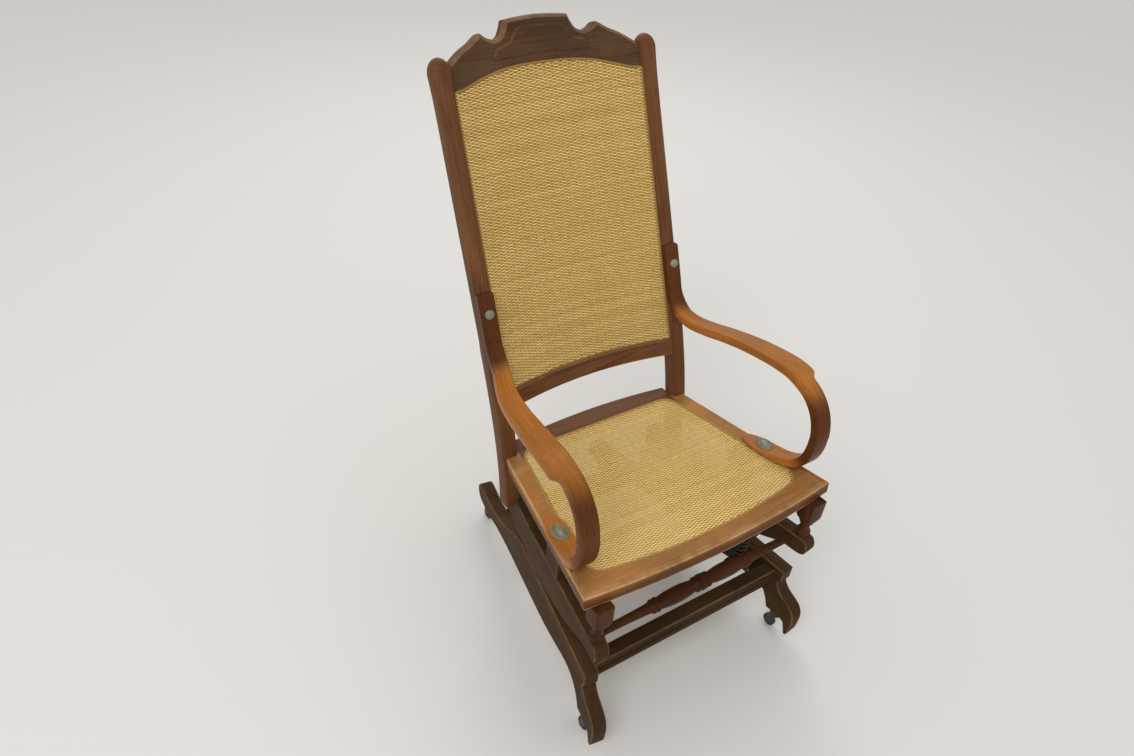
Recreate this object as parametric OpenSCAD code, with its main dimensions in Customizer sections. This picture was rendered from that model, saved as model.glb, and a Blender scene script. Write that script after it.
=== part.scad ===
// Platform rocker: a woven cane chair whose two rockers roll on a fixed base with swivel casters.
// X runs to the right, Y to the back and Z up. The origin is on the floor, at the middle of the whole chair.

/* [Base] */
// How far the base's toes stay inside the seat's front corners
base_in = 11; // [4:1:18]
// How far the base runs on behind the rockers' tails
heel_out = 182; // [170:1:194]
// Height of the flat top of the side boards
base_h = 187; // [180:1:192]
// Thickness of the side boards
base_t = 30; // [26:1:34]
// Distance of the rocking line behind the toes
contact_y = 306; // [290:1:320]
// Rise of the bearing crown above the flat top
crown_h = 5.2; // [5:0.1:7]
// Height of the beaded front rail
base_rail_h = 50; // [44:1:54]
// Thickness of the front and back rails of the base
base_rail_t = 24; // [20:1:28]
// Distance of the front rail behind the toes
base_rail_y = 72; // [66:1:78]
// Height of the front rail's underside
base_rail_z = 128; // [124:1:132]
// Height of the back rail of the base
base_back_rail_h = 34; // [28:1:38]
// Height of the back rail's underside
base_back_rail_z = 78; // [74:1:82]
// Distance of the back rail in front of the heels
base_back_rail_in = 148; // [141:1:156]

/* [Rockers] */
// Thickness of the rockers
rocker_t = 28; // [24:1:30]
// How far the rockers run on behind the back posts
rocker_tail_out = 27.7; // [18:0.1:36]
// How far the middles of the rockers end inside the inner faces of the back posts
rocker_in = 3.5; // [0:0.5:8]
// Radius of the rolling edge
rocker_r = 430; // [410:1:470]
// Distance of the rocker's nose behind the toes
rocker_nose_y = 25; // [20:1:30]
// Height of the rocker's top above the rocking line, at the front
rocker_rise = 109; // [104:1:114]
// Diameter of the turned stretchers' tenons
tenon_d = 14; // [12:0.5:16]
// Depth of the tenon holes
tenon_l = 10; // [8:0.5:11]

/* [Seat] */
// Width of the seat frame at its front corners
seat_front_w = 540; // [528:1:552]
// How far the seat's back corners stand outside the inner faces of the back posts
seat_corner_out = 25; // [22:1:29]
// Depth of the seat frame along its sides
seat_l = 378; // [370:1:384]
// Distance of the seat's front corners behind the toes
seat_y = 54; // [48:1:58]
// Height of the seat's top at its front corners
seat_z = 425; // [415:1:435]
// Fall of the seat towards the back, in degrees
seat_slope = 5.6; // [4:0.1:7]
// Thickness of the seat frame
seat_t = 29; // [26:1:32]
// How far the front rail bows forward in the middle
seat_bow = 17; // [12:1:22]
// Visible width of the seat side rails
side_rail_w = 28.5; // [25:0.5:32]
// Visible width of the seat front rail
front_rail_w = 32; // [29:1:36]
// Width of the seat back rail behind the cane
back_rail_w = 37; // [33:1:41]
// How far the seat back rail bows back in the middle
back_rail_bow = 15; // [10:1:20]
// Thickness of the woven cane
cane_t = 2.6; // [2:0.1:3.5]
// Radius of the corners of the cane
cane_corner_r = 34; // [28:1:40]
// How far the seat cane ends inside the inner faces of the back posts
cane_post_in = 4; // [2:0.5:8]
// Width of the cane spline
spline_w = 5; // [4:0.5:6]

/* [Back] */
// Clear width between the back posts
back_w = 380; // [372:1:388]
// Lean of the back, in degrees from upright
recline = 21.7; // [18:0.1:24]
// Distance of the posts' bend behind the back ends of the seat's side rails
bend_out = 55; // [50:1:60]
// Height where the straight part of the posts begins
bend_z = 600; // [590:1:610]
// Length of the straight part of the posts
post_l = 506; // [490:1:520]
// Width of the back posts
post_w = 32; // [30:1:34]
// Depth of the back posts
post_d = 34; // [32:1:38]
// Distance of the posts' feet in front of those ends
post_foot_in = 24; // [20:1:30]
// Height of the feet of the back posts
post_foot_z = 265; // [258:1:270]
// How far the back bows to the rear in the middle
back_bow = 28; // [22:1:34]
// Height of the crest rail in its middle
crest_h = 112; // [104:1:120]
// Thickness of the crest rail
crest_t = 26; // [22:1:28]
// Height of the cross rail under the back cane
cross_rail_h = 35; // [30:1:38]
// Thickness of the cross rail
cross_rail_t = 22; // [18:1:24]
// Distance of the cross rail's underside below the bend of the posts
cross_rail_drop = 120; // [114:1:124]

/* [Arms] */
// Distance of the arms' foremost point behind the toes
arm_front_y = 90; // [84:1:96]
// Height of the arms from foot to top
arm_rise = 288; // [280:1:294]
// Thickness of the bent band
arm_t = 18; // [15:0.5:20]
// Greatest width of the bent band
arm_w = 36; // [33:1:39]
// How far the bent bands stay inside the seat's front corners
arm_in = 5; // [0:1:10]
// Width of the glued strip that widens each arm rest
arm_strip_w = 12; // [9:1:14]
// Distance of the arm bolts above the bend of the posts
bolt_rise = 73; // [68:1:80]
// Diameter of the arm bolts
bolt_d = 8; // [7:0.1:9]
// Diameter of the bolts' domed heads
bolt_head_d = 18; // [16:1:20]
// Length of the oval rosettes on the arm feet
rosette_l = 40; // [36:1:42]
// Width of the oval rosettes
rosette_w = 27; // [24:1:29]

/* [Front posts and stretchers] */
// Side of the square blocks of the front posts
front_post_w = 34; // [31:1:36]
// Height of the turned part of the front posts
front_turning_h = 49; // [46:1:54]
// Distance of the front posts' centres behind the toes
front_post_y = 51; // [48:0.5:52]
// Greatest diameter of the front stretcher
stretcher_d = 31; // [28:1:34]
// Distance of the front stretcher behind the toes
stretcher_y = 64; // [60:1:68]
// Height of the front stretcher
stretcher_z = 286; // [282:1:288]
// Diameter of the back stretcher
back_stretcher_d = 20; // [18:1:24]
// Distance of the back stretcher in front of the back posts' feet
back_stretcher_in = 28; // [18:1:38]

/* [Springs] */
// Wire diameter of the coil springs
wire_d = 4.6; // [4:0.1:5]
// Mean diameter of the coils
coil_d = 29; // [26:1:32]
// Height of the coil springs at rest
spring_h = 86; // [82:1:90]
// Number of curls in each spring
curls = 7; // [6:1:8]
// Height of the shelves that the springs stand on
shelf_z = 146; // [142:1:150]
// Distance of the front springs behind the toes
spring_front_y = 148; // [142:1:154]
// Distance of the back springs in front of the rockers' tails
spring_back_in = 42; // [36:1:48]
// Thickness of the spring brackets
bracket_t = 3.2; // [2.8:0.1:3.8]
// Width of the spring brackets
bracket_w = 38; // [36:1:42]
// Height of the brackets' upright plates
bracket_h = 36; // [34:1:40]

/* [Casters] */
// Diameter of the caster wheels
wheel_d = 28; // [26:1:30]
// Width of the caster wheels
wheel_w = 12; // [10:1:14]
// Diameter of the caster axles
axle_d = 4; // [3.5:0.1:5]
// How far the axle trails behind the swivel
trail = 9; // [7:1:11]
// Height of the top of the caster forks
fork_z = 46; // [44:1:47]
// Diameter of the caster stems
stem_d = 8; // [7:0.5:9]
// Distance of the front casters behind the toes
caster_front_y = 47; // [45:1:49]
// Distance of the back casters in front of the heels
caster_back_in = 43; // [40:1:48]

/* [Hidden] */
$fn = 48;

// Clearances and overruns
over = 3; // overrun of every cut
run_gap = 0.3; // gap between pieces that move past each other, and round the cane
fit_gap = 0.1; // gap round fixed pins, tenons and screws, on the radius
quarter_turn = 90; // in degrees
axle_gap = 0.06; // running gap round axles and stems, on the radius

// The two sides, by sign
RIGHT = 1;
LEFT = -1;

arm_past_bend = 33; // how far the arm's length runs on behind the posts' bend

// What follows from the seat: the posts, the arms, the rockers and the base
seat_back_w = back_w + 2 * seat_corner_out; // width of the seat frame at its back corners
bend_y = seat_y + seat_l + bend_out; // distance of the posts' bend behind the toes, on their front faces
post_foot_y = seat_y + seat_l - post_foot_in; // the same for their feet
arm_reach = bend_y - arm_front_y + arm_past_bend; // length that the arm's shares are taken of
arm_spread = seat_front_w / 2 - back_w / 2 - arm_in; // how far the bands spread outwards from the posts
base_w = seat_front_w - 2 * base_in; // outside width of the base across its toes
splay = atan((base_w / 2 - base_t / 2 - back_w / 2 + rocker_in) / (post_foot_y + post_d / 2));
rocker_l = (post_foot_y + post_d + rocker_tail_out) / cos(splay) - rocker_nose_y; // length of each rocker
base_l = rocker_nose_y + rocker_l + heel_out; // length of each base side board, from toe to heel
base_back_rail_y = base_l - base_back_rail_in;
back_stretcher_y = post_foot_y - back_stretcher_in;
spring_back_y = rocker_nose_y + rocker_l - spring_back_in;
caster_back_y = base_l - caster_back_in;

// Middle of the whole chair between its toes and the back of its crest
crest_foot_v = 448; // height of the crest rail's lower ends along the back
crest_front_w = 10; // setback of the crest rail's front face at the posts
back_reach = (crest_foot_v + crest_h) * sin(recline) + (crest_front_w + back_bow + crest_t) * cos(recline);
toe_reach = base_t / 2 * sin(splay); // the toes' inner corners stand this far in front of their middles
mid_y = (bend_y + back_reach - toe_reach) / 2;

// Colours
dark_wood = "#4a2c1c";
red_wood = "#8a4f2c";
honey_wood = "#a9713f";
cane_colour = "#cfa350";
iron = "#3a3836";
bronze = "#6d6a55";
black = "#1d1c1b";

// Wood of the base
rail_bead_r = 3.5; // radius of the beads on the front rail
front_block_y = 51; // where the side boards' flat top begins, behind the toes
furthest_rock = 8.5; // a little more than the chair leans back, in degrees
crown_l = crown_h / tan(furthest_rock); // half length of the crown
contact_z = base_h + crown_h + run_gap; // height of the rocking line
contact_a = contact_y / cos(splay); // the same line, measured along a side board

// The toe's scroll, the caster pad behind it, the underside and the heel, as shares of length and height
toe_shares = [[0.078, 0.845], [0.087, 0.802], [0.081, 0.727], [0.066, 0.668], [0.043, 0.62],
    [0.021, 0.572], [0.006, 0.503], [0, 0.406], [0.001, 0.29], [0.004, 0.19], [0.01, 0.14]];
toe_pad_shares = [[0.018, 0.155], [0.024, 0.23], [0.031, 0.3], [0.042, 0.321], [0.101, 0.321]];
under_shares = [[0.111, 0.417], [0.128, 0.524], [0.155, 0.599], [0.198, 0.626], [0.274, 0.567],
    [0.366, 0.497], [0.518, 0.46], [0.655, 0.439], [0.762, 0.396], [0.841, 0.332], [0.896, 0.257]];
heel_shares = [[0.97, 0.257], [0.991, 0.299], [1, 0.396], [0.991, 0.481], [0.97, 0.529], [0.93, 0.535],
    [0.884, 0.529], [0.831, 0.556], [0.77, 0.626], [0.709, 0.733], [0.648, 0.872], [0.595, 0.973],
    [0.561, 1]];
toe_pad_z = toe_pad_shares[3][1] * base_h; // height of the pad over the front caster
heel_pad_z = heel_shares[0][1] * base_h; // height of the pad over the back caster

// The rocker's top from nose to tail, its tail, and its nose, as shares of length and rise
rocker_top_shares = [[0.046, 1], [0.12, 0.965], [0.233, 0.936], [0.454, 0.862], [0.696, 0.807],
    [0.925, 0.78], [0.987, 0.771], [0.998, 0.73], [1, 0.64], [1, 0.4]];
rocker_nose_shares = [[0.098, 0.606], [0.056, 0.619], [0.027, 0.642], [0.009, 0.693], [0.001, 0.794],
    [0.006, 0.904], [0.018, 0.977]];
rocker_tail_share = 0.975; // where the rolling edge ends
rocker_front_share = 0.14; // where it begins

// Turnings: distance along the piece and radius, as shares of its length and of its greatest radius
front_post_shares = [[0, 0.75], [0.03, 0.77], [0.1, 0.77], [0.16, 0.75], [0.2, 0.62], [0.24, 0.78],
    [0.32, 0.83], [0.4, 0.78], [0.46, 0.58], [0.62, 0.55], [0.74, 0.58], [0.82, 0.72], [0.92, 0.95], [1, 1]];
stretcher_shares = [[0, 1], [0.02, 1], [0.025, 0.78], [0.04, 0.78], [0.05, 0.93], [0.08, 0.93],
    [0.09, 0.78], [0.11, 0.86], [0.2, 0.97], [0.3, 0.97], [0.4, 0.84], [0.44, 0.74], [0.45, 0.86],
    [0.465, 0.9], [0.48, 0.74], [0.49, 0.86], [0.505, 0.86], [0.52, 0.68], [0.56, 0.6], [0.7, 0.54],
    [0.85, 0.5], [0.97, 0.5], [1, 0.5]];

// Back
back_r = (back_w * back_w / 4 + back_bow * back_bow) / (2 * back_bow); // radius of the bowed back
cane_setback = 7; // setback of the back cane at the posts
cross_front_w = 2; // setback of the cross rail at the posts
post_corner_r = 9; // radius of the upper posts' corners
post_cap_h = 10; // height of the domed top of each post
post_cap_shares = [[0, 0], [1.125, 0], [1.125, 0.25], [0.875, 0.62], [0.5, 0.9], [0, 1]];
post_handle = 112; // length of the tangents that shape the curve of the lower posts
post_steps = 14; // pieces in that curve
crest_top_shares = [[1, 0.4], [0.858, 0.57], [0.732, 0.679], [0.616, 0.795], [0.547, 0.732],
    [0.484, 0.696], [0.437, 0.705], [0.395, 0.759], [0.358, 0.866], [0.337, 0.955], [0.253, 0.973],
    [0, 1]];
crest_low_shares = [[1, 0.009], [0.874, 0.045], [0.7, 0.143], [0.474, 0.241], [0.242, 0.286], [0, 0.295]];
panel_w = 97; // half width of the raised panel on the crest
panel_h = 56; // height of the raised panel
panel_foot_v = 487; // height of the panel's lower corners along the back
panel_t = 4; // how far the panel stands proud
panel_top_shares = [[1, 0.06], [0.99, 0.232], [0.928, 0.411], [0.835, 0.464], [0.722, 0.518],
    [0.608, 0.625], [0.515, 0.875], [0.402, 0.964], [0, 1]];
panel_low_shares = [[1, 0], [0.67, 0.089], [0.237, 0.161], [0, 0.17]];
cross_crown = 6; // crown of the cross rail's edges in the middle

// Seat
seat_edge_shares = [[0, 0.8], [0.2, 1], [0.72, 0.94], [1, 0.72]]; // layers of the rounded front edge
seat_edge_in = 9; // depth of that rounding
front_joint = 60; // where the side rails meet the front rail, behind the front corners
cane_sink = 1.2; // depth of the cane below the top of the frame
spline_rise = 1; // how far the spline stands above the cane's frame
bow_steps = 16; // pieces in a bowed edge
corner_steps = 6; // pieces in a rounded corner
seat_block_l = 50; // length of the blocks between rockers and seat
seat_block_w = 26; // width of those blocks
seat_block_y = 222; // distance of their middles behind the toes
rail_lap = 3; // how far the side rails reach past the inner faces of the back posts

// Arms: the line of the bent band, its thickness, and its inner and outer edges from above
arm_foot_z = 411; // height of the middle of the band at the tip of its foot
arm_post_heights = [107, 45, 12]; // points on the post's front face above its bend, which the band follows
arm_line_shares = [[0.879, 0.608], [0.805, 0.559],
    [0.709, 0.562], [0.572, 0.604], [0.426, 0.646], [0.265, 0.677], [0.177, 0.67], [0.093, 0.625],
    [0.033, 0.535], [0.002, 0.413], [0, 0.274], [0.026, 0.153], [0.088, 0.069], [0.188, 0.024],
    [0.344, 0]];
arm_thick_shares = [1, 1, 1, 1, 1, 1, 1, 1, 1, 1, 1, 1, 1, 1, 1, 1, 0.85, 0.3];
arm_steps = 3; // pieces between two points of the line
arm_top_plan_shares = [[1.107, 0, 0.427], [0.921, 0, 0.427], [0.851, 0.027, 0.467],
    [0.784, 0.12, 0.573], [0.709, 0.24, 0.707], [0.614, 0.36, 0.827], [0.519, 0.44, 0.907],
    [0.426, 0.48, 0.96], [0.335, 0.507, 0.987], [0.2, 0.52, 1], [-0.056, 0.52, 1]];
arm_low_plan_shares = [[-0.056, 0.52, 1], [0.047, 0.493, 0.973], [0.107, 0.44, 0.933],
    [0.153, 0.373, 0.893], [0.2, 0.32, 0.867], [0.247, 0.28, 0.84], [0.293, 0.267, 0.773],
    [0.328, 0.32, 0.667], [0.351, 0.44, 0.547]];
arm_strip_shares = [[0.709, 0.02], [0.614, 0.25], [0.519, 0.5], [0.426, 0.667], [0.335, 0.833],
    [0.247, 1], [0.2, 1], [0.165, 1]];
arm_split_share = 0.36; // height where the upper and the lower plan of the arm meet
arm_rest_share = 0.52; // inner edge of the widest part of the band, in the plans' shares
arm_foot_h = 12; // height over the seat at which the rosettes' domes begin
rosette_reach_share = 0.232; // place of the rosettes along the arm's reach
rosette_y = arm_front_y + rosette_reach_share * arm_reach;
rosette_x = back_w / 2 + lookup(rosette_reach_share,
    [for (p = arm_low_plan_shares) [p[0], (arm_inner(p) + arm_outer(p)) / 2]]);
rosette_shares = [[0, 1], [0.35, 0.9], [0.7, 0.62], [1, 0.25]]; // height and size of the dome's layers
rosette_h = 6; // height of the rosettes over the arm feet
oval_steps = 8; // pieces in a quarter of the oval
bolt_head_h = 6; // height of the bolts' domed heads
nut_t = 6.5; // thickness of the nuts
nut_w = 14; // width of the nuts across their corners
washer_d = 18; // diameter of the nuts' washers
washer_t = 1.6; // thickness of those washers
nut_sink = 2; // length of the bolt that shows behind its nut

// Springs and brackets
spring_in = 23; // distance of the spring's axis from the upright plate
shelf_l = 42; // length of the shelves
spud_d = 18; // diameter of the spud inside the foot of each spring
spud_h = 8; // height of that spud
screw_d = 4; // diameter of the bracket screws
screw_l = 16; // length of the bracket screws
screw_head_d = 8; // diameter of their heads
screw_head_h = 2.4; // height of their heads
screw_step = 20; // distance between the two screws of a bracket
screw_rise_share = 0.6; // height of the screws on the upright plate
tube_sides = 6;
rings_per_curl = 8;

// Casters
fork_t = 2.5; // thickness of the fork's cheeks
fork_crown_t = 4; // thickness of the fork's crown
fork_gap = 0.5; // gap between the wheel and each cheek
fork_crown_d = 22; // diameter of the fork's crown
cheek_w = 12; // width of the fork's cheeks
stem_l = 34; // length of the stems above the forks
socket_wall = 2; // wall of the sockets
socket_flange_d = 24; // diameter of the sockets' flanges
hub_w = 0.6; // how far the wheel's hub is set in from its faces
tread_r = 3; // radius of the tread's corners

function lerp(a, b, t) = a + (b - a) * t;

// Point of a smooth curve through the points p, between points i and i + 1
function spline_point(p, i, t) =
    let (a = p[max(i - 1, 0)], b = p[i], c = p[min(i + 1, len(p) - 1)], d = p[min(i + 2, len(p) - 1)])
    (2 * b + (c - a) * t + (2 * a - 5 * b + 4 * c - d) * t * t + (3 * b - 3 * c + d - a) * t * t * t) / 2;

function smooth(p, n) = concat([for (i = [0 : len(p) - 2], k = [0 : n - 1]) spline_point(p, i, k / n)],
    [p[len(p) - 1]]);

function scaled(shares, l, h) = [for (s = shares) [s[0] * l, s[1] * h]];

function shifted(points, d) = [for (p = points) p + d];

function reversed(p) = [for (i = [len(p) - 1 : -1 : 0]) p[i]];

// A half outline from its end to the middle, mirrored to the other side
function both_halves(p) = concat(p, [for (q = reversed([for (i = [0 : len(p) - 2]) p[i]])) [-q[0], q[1]]]);

function bezier(a, b, c, d, t) = pow(1 - t, 3) * a + 3 * pow(1 - t, 2) * t * b + 3 * (1 - t) * t * t * c
    + pow(t, 3) * d;

// Unit normal of a line of points, to the left of its direction
function normal(p, i) =
    let (d = p[min(i + 1, len(p) - 1)] - p[max(i - 1, 0)])
    [-d[1], d[0]] / norm(d);

module placed() translate([0, -mid_y, 0]) children();

module side(s) {
    if (s < 0) mirror([1, 0, 0]) children();
    else children();
}

// Frame of a side board: Y runs along it from the toe, X is zero on its middle plane
module board(s) placed() side(s) translate([base_w / 2 - base_t / 2, 0, 0]) rotate([0, 0, splay]) children();

// A profile in Y and Z, t thick and centred on X zero
module upright(t) rotate([90, 0, 90]) translate([0, 0, -t / 2]) linear_extrude(t) children();

// Frame of the back: Z runs up the posts, Y is zero on their front faces
module back_frame() placed() translate([0, bend_y, bend_z]) rotate([-recline, 0, 0]) children();

// Frame of the seat: Y runs back along its top, from the front corners
module seat_frame() placed() translate([0, seat_y, seat_z]) rotate([-seat_slope, 0, 0]) children();

/* Base */

module base_outline() {
    toe = smooth(scaled(toe_shares, base_l, base_h), 3);
    under = smooth(scaled(under_shares, base_l, base_h), 2);
    heel = smooth(scaled(heel_shares, base_l, base_h), 2);
    top = [[contact_a + crown_l, base_h], [contact_a, base_h + crown_h], [contact_a - crown_l, base_h],
        [front_block_y, base_h]];
    polygon(concat(toe, scaled(toe_pad_shares, base_l, base_h), under, heel, top));
}

module base_side_raw(s) board(s) upright(base_t) base_outline();

module base_side(s) color(dark_wood) difference() {
    base_side_raw(s);
    for (c = [[caster_front_y, toe_pad_z], [caster_back_y, heel_pad_z]])
        board(s) translate([0, c[0], c[1] - over]) cylinder(d = socket_sleeve_d() + 2 * fit_gap, h = stem_l);
    for (y = [spring_front_y, spring_back_y]) lower_screws(s, y, fit_gap);
}

function socket_sleeve_d() = stem_d + 2 * axle_gap + 2 * socket_wall;

module base_front_rail() color(dark_wood) difference() {
    placed() union() {
        translate([-base_w / 2, base_rail_y, base_rail_z]) cube([base_w, base_rail_t, base_rail_h]);
        for (z = [base_rail_z + base_rail_h - rail_bead_r, base_rail_z + base_rail_h / 3])
            translate([-base_w / 2, base_rail_y, z]) rotate([0, 90, 0]) cylinder(r = rail_bead_r, h = base_w);
    }
    for (s = [LEFT, RIGHT]) outside_of_board(s, base_t);
}

// All that lies outside the inner face of a side board that is t thick
module outside_of_board(s, t) board(s)
    translate([-t / 2, -base_l, -base_h]) cube([base_w, 3 * base_l, 4 * base_h]);

module base_back_rail() color(dark_wood) difference() {
    placed() translate([-base_w / 2, base_back_rail_y, base_back_rail_z])
        cube([base_w, base_rail_t, base_back_rail_h]);
    for (s = [LEFT, RIGHT]) outside_of_board(s, base_t);
}

module bracket(h) {
    translate([-bracket_t, -bracket_w / 2, 0]) cube([bracket_t, bracket_w, h]);
    translate([-shelf_l, -bracket_w / 2, 0]) cube([shelf_l, bracket_w, bracket_t]);
}

function lower_face() = -base_t / 2;
function upper_face() = -rocker_t / 2;
function spring_top_z() = shelf_z + spring_h;
function screw_rise() = screw_rise_share * bracket_h;

// A lower bracket: its plate lies on the side board, and its shelf is at the plate's top
module lower_bracket(s, y) board(s) translate([lower_face(), y, shelf_z]) {
    mirror([0, 0, 1]) bracket(bracket_h);
    translate([-bracket_t - spring_in, 0, 0]) cylinder(d = spud_d, h = spud_h);
}

module lower_brackets(s) color(iron) difference() {
    for (y = [spring_front_y, spring_back_y]) lower_bracket(s, y);
    for (y = [spring_front_y, spring_back_y]) lower_screws(s, y, fit_gap);
}

module upper_bracket(s, y) board(s) translate([upper_face(), y, spring_top_z()]) {
    bracket(bracket_h);
    translate([-bracket_t - spring_in, 0, -spud_h]) cylinder(d = spud_d, h = spud_h);
}

module upper_brackets(s) color(iron) difference() {
    for (y = [spring_front_y, spring_back_y]) upper_bracket(s, y);
    for (y = [spring_front_y, spring_back_y]) upper_screws(s, y, fit_gap);
}

// A round headed screw that points outwards, with its head's seat at zero; grow widens it to cut its hole
module screw(grow) rotate([0, 90, 0]) {
    cylinder(d = screw_d + 2 * grow, h = screw_l + (grow > 0 ? over : 0));
    if (grow == 0) intersection() {
        translate([0, 0, -screw_head_h]) cylinder(d = screw_head_d, h = screw_head_h);
        translate([0, 0, screw_head_d - screw_head_h]) sphere(r = screw_head_d);
    }
}

module screw_pair(grow) for (k = [-1, 1]) translate([0, k * screw_step / 2, 0]) screw(grow);

module lower_screws(s, y, grow)
    board(s) translate([lower_face() - bracket_t, y, shelf_z - screw_rise()]) screw_pair(grow);

module upper_screws(s, y, grow)
    board(s) translate([upper_face() - bracket_t, y, spring_top_z() + screw_rise()]) screw_pair(grow);

module base_screws() color(iron) for (s = [LEFT, RIGHT], y = [spring_front_y, spring_back_y])
    lower_screws(s, y, 0);

module rocker_screws() color(iron) for (s = [LEFT, RIGHT], y = [spring_front_y, spring_back_y])
    upper_screws(s, y, 0);

/* Casters */

module caster_sockets() color(iron) for (s = [LEFT, RIGHT],
    c = [[caster_front_y, toe_pad_z], [caster_back_y, heel_pad_z]])
    board(s) translate([0, c[0], 0]) difference() {
        union() {
            translate([0, 0, fork_z + run_gap]) cylinder(d = socket_flange_d, h = c[1] - fork_z - run_gap);
            translate([0, 0, c[1] - over / 2]) cylinder(d = socket_sleeve_d(), h = stem_l - 2 * over);
        }
        translate([0, 0, fork_z - over]) cylinder(d = stem_d + 2 * axle_gap, h = stem_l + 2 * over + c[1]);
    }

// Frame of a caster: the swivel axis is Z, and the wheel trails behind it
module caster(s, y) placed() side(s)
    translate([base_w / 2 - base_t / 2 - y * sin(splay), y * cos(splay), 0]) children();

function fork_in() = wheel_w / 2 + fork_gap;

module caster_fork(s, y) color(bronze) caster(s, y) difference() {
    union() {
        translate([0, 0, fork_z - fork_crown_t]) cylinder(d = fork_crown_d, h = fork_crown_t);
        translate([0, 0, fork_z]) cylinder(d = stem_d, h = stem_l - 2 * over);
        for (k = [-1, 1]) translate([k * (fork_in() + fork_t / 2), 0, 0]) upright(fork_t) union() {
            translate([trail, wheel_d / 2]) circle(d = cheek_w);
            polygon([[trail - cheek_w / 2, wheel_d / 2], [trail + cheek_w / 2, wheel_d / 2],
                [cheek_w / 2, fork_z - fork_crown_t / 2], [-cheek_w / 2, fork_z - fork_crown_t / 2]]);
        }
    }
    translate([-base_t, trail, wheel_d / 2]) rotate([0, 90, 0])
        cylinder(d = axle_d + axle_gap, h = 2 * base_t);
}

module caster_axle(s, y) color(iron) caster(s, y)
    translate([-fork_in() - fork_t - fork_gap, trail, wheel_d / 2]) rotate([0, 90, 0])
        cylinder(d = axle_d, h = 2 * (fork_in() + fork_t + fork_gap));

module caster_wheel(s, y) color(black) caster(s, y) translate([0, trail, wheel_d / 2]) rotate([0, 90, 0])
    rotate_extrude() polygon([[axle_d / 2 + axle_gap, -wheel_w / 2 + hub_w],
        [wheel_d / 2 - tread_r, -wheel_w / 2], [wheel_d / 2, -wheel_w / 2 + tread_r],
        [wheel_d / 2, wheel_w / 2 - tread_r], [wheel_d / 2 - tread_r, wheel_w / 2],
        [axle_d / 2 + axle_gap, wheel_w / 2 - hub_w]]);

/* Rockers and posts */

function rolling_edge(a) = contact_z + rocker_r - sqrt(rocker_r * rocker_r - pow(a - contact_a, 2));

module rocker_outline() {
    top = shifted(smooth(scaled(rocker_top_shares, rocker_l, rocker_rise), 2), [rocker_nose_y, contact_z]);
    nose = shifted(smooth(scaled(rocker_nose_shares, rocker_l, rocker_rise), 2), [rocker_nose_y, contact_z]);
    edge = [for (i = [0 : bow_steps * 2])
        let (a = rocker_nose_y + rocker_l * lerp(rocker_tail_share, rocker_front_share, i / bow_steps / 2))
        [a, rolling_edge(a)]];
    polygon(concat(top, edge, nose));
}

module rocker_raw(s) board(s) upright(rocker_t) rocker_outline();

module rocker(s) color(dark_wood) difference() {
    rocker_raw(s);
    front_post_tenon(s, fit_gap);
    stretcher_tenons(fit_gap);
    back_stretcher_body(fit_gap);
    for (y = [spring_front_y, spring_back_y]) upper_screws(s, y, fit_gap);
}

function front_post_x() = base_w / 2 - base_t / 2 - front_post_y * sin(splay);

module front_post_tenon(s, grow) placed() side(s)
    translate([front_post_x(), front_post_y, rocker_top_z() - tenon_l - grow])
        cylinder(d = tenon_d + 2 * grow, h = tenon_l + over + grow);

function rocker_top_z() = contact_z + rocker_rise * rocker_top_shares[1][1];

module front_post(s) color(red_wood) difference() {
    union() {
        placed() side(s) translate([front_post_x(), front_post_y, rocker_top_z() - over]) union() {
            rotate_extrude() polygon(concat([[0, 0]],
                [for (p = front_post_shares) [p[1] * front_post_w / 2, p[0] * (front_turning_h + over)]],
                [[0, front_turning_h + over]]));
            translate([-front_post_w / 2, -front_post_w / 2, front_turning_h + over])
                cube([front_post_w, front_post_w, seat_z]);
        }
        front_post_tenon(s, 0);
    }
    difference() {
        board(s) upright(2 * front_post_w) rocker_outline();
        front_post_tenon(s, 0);
    }
    above_seat_underside();
}

// All that lies above the underside of the seat frame
module above_seat_underside() seat_frame()
    translate([-seat_front_w, -seat_l, -seat_t]) cube([2 * seat_front_w, 3 * seat_l, 2 * seat_z]);

module seat_block(s) color(dark_wood) difference() {
    board(s) translate([-seat_block_w / 2, seat_block_y - seat_block_l / 2, contact_z + rocker_rise / 2])
        cube([seat_block_w, seat_block_l, seat_z]);
    rocker_raw(s);
    above_seat_underside();
}

// The front face of a lower back post, from its bend down to its foot
function post_front() = [for (i = [0 : post_steps])
    bezier([bend_y, bend_z], [bend_y, bend_z] - post_handle * [sin(recline), cos(recline)],
        [post_foot_y, post_foot_z + post_handle], [post_foot_y, post_foot_z], i / post_steps)];

module lower_post_outline() {
    f = post_front();
    polygon(concat(f, reversed([for (i = [0 : post_steps]) f[i] + post_d * normal(f, i)])));
}

module rounded_square(w, d, r) {
    translate([r, 0]) square([w - 2 * r, d]);
    translate([0, r]) square([w, d - 2 * r]);
    for (x = [r, w - r], y = [r, d - r]) translate([x, y]) circle(r);
}

module back_post_raw(s) union() {
    placed() side(s) translate([back_w / 2 + post_w / 2, 0, 0]) upright(post_w) lower_post_outline();
    back_frame() side(s) translate([back_w / 2, 0, -over]) {
        linear_extrude(post_l + over - post_cap_h) rounded_square(post_w, post_d, post_corner_r);
        translate([post_w / 2, post_d / 2, post_l + over - post_cap_h]) rotate_extrude()
            polygon(scaled(post_cap_shares, post_w / 2, post_cap_h));
    }
}

module back_post(s) color(red_wood) difference() {
    back_post_raw(s);
    rocker_raw(s);
    arm_raw(s);
    arm_bolt(s, fit_gap);
}

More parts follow.
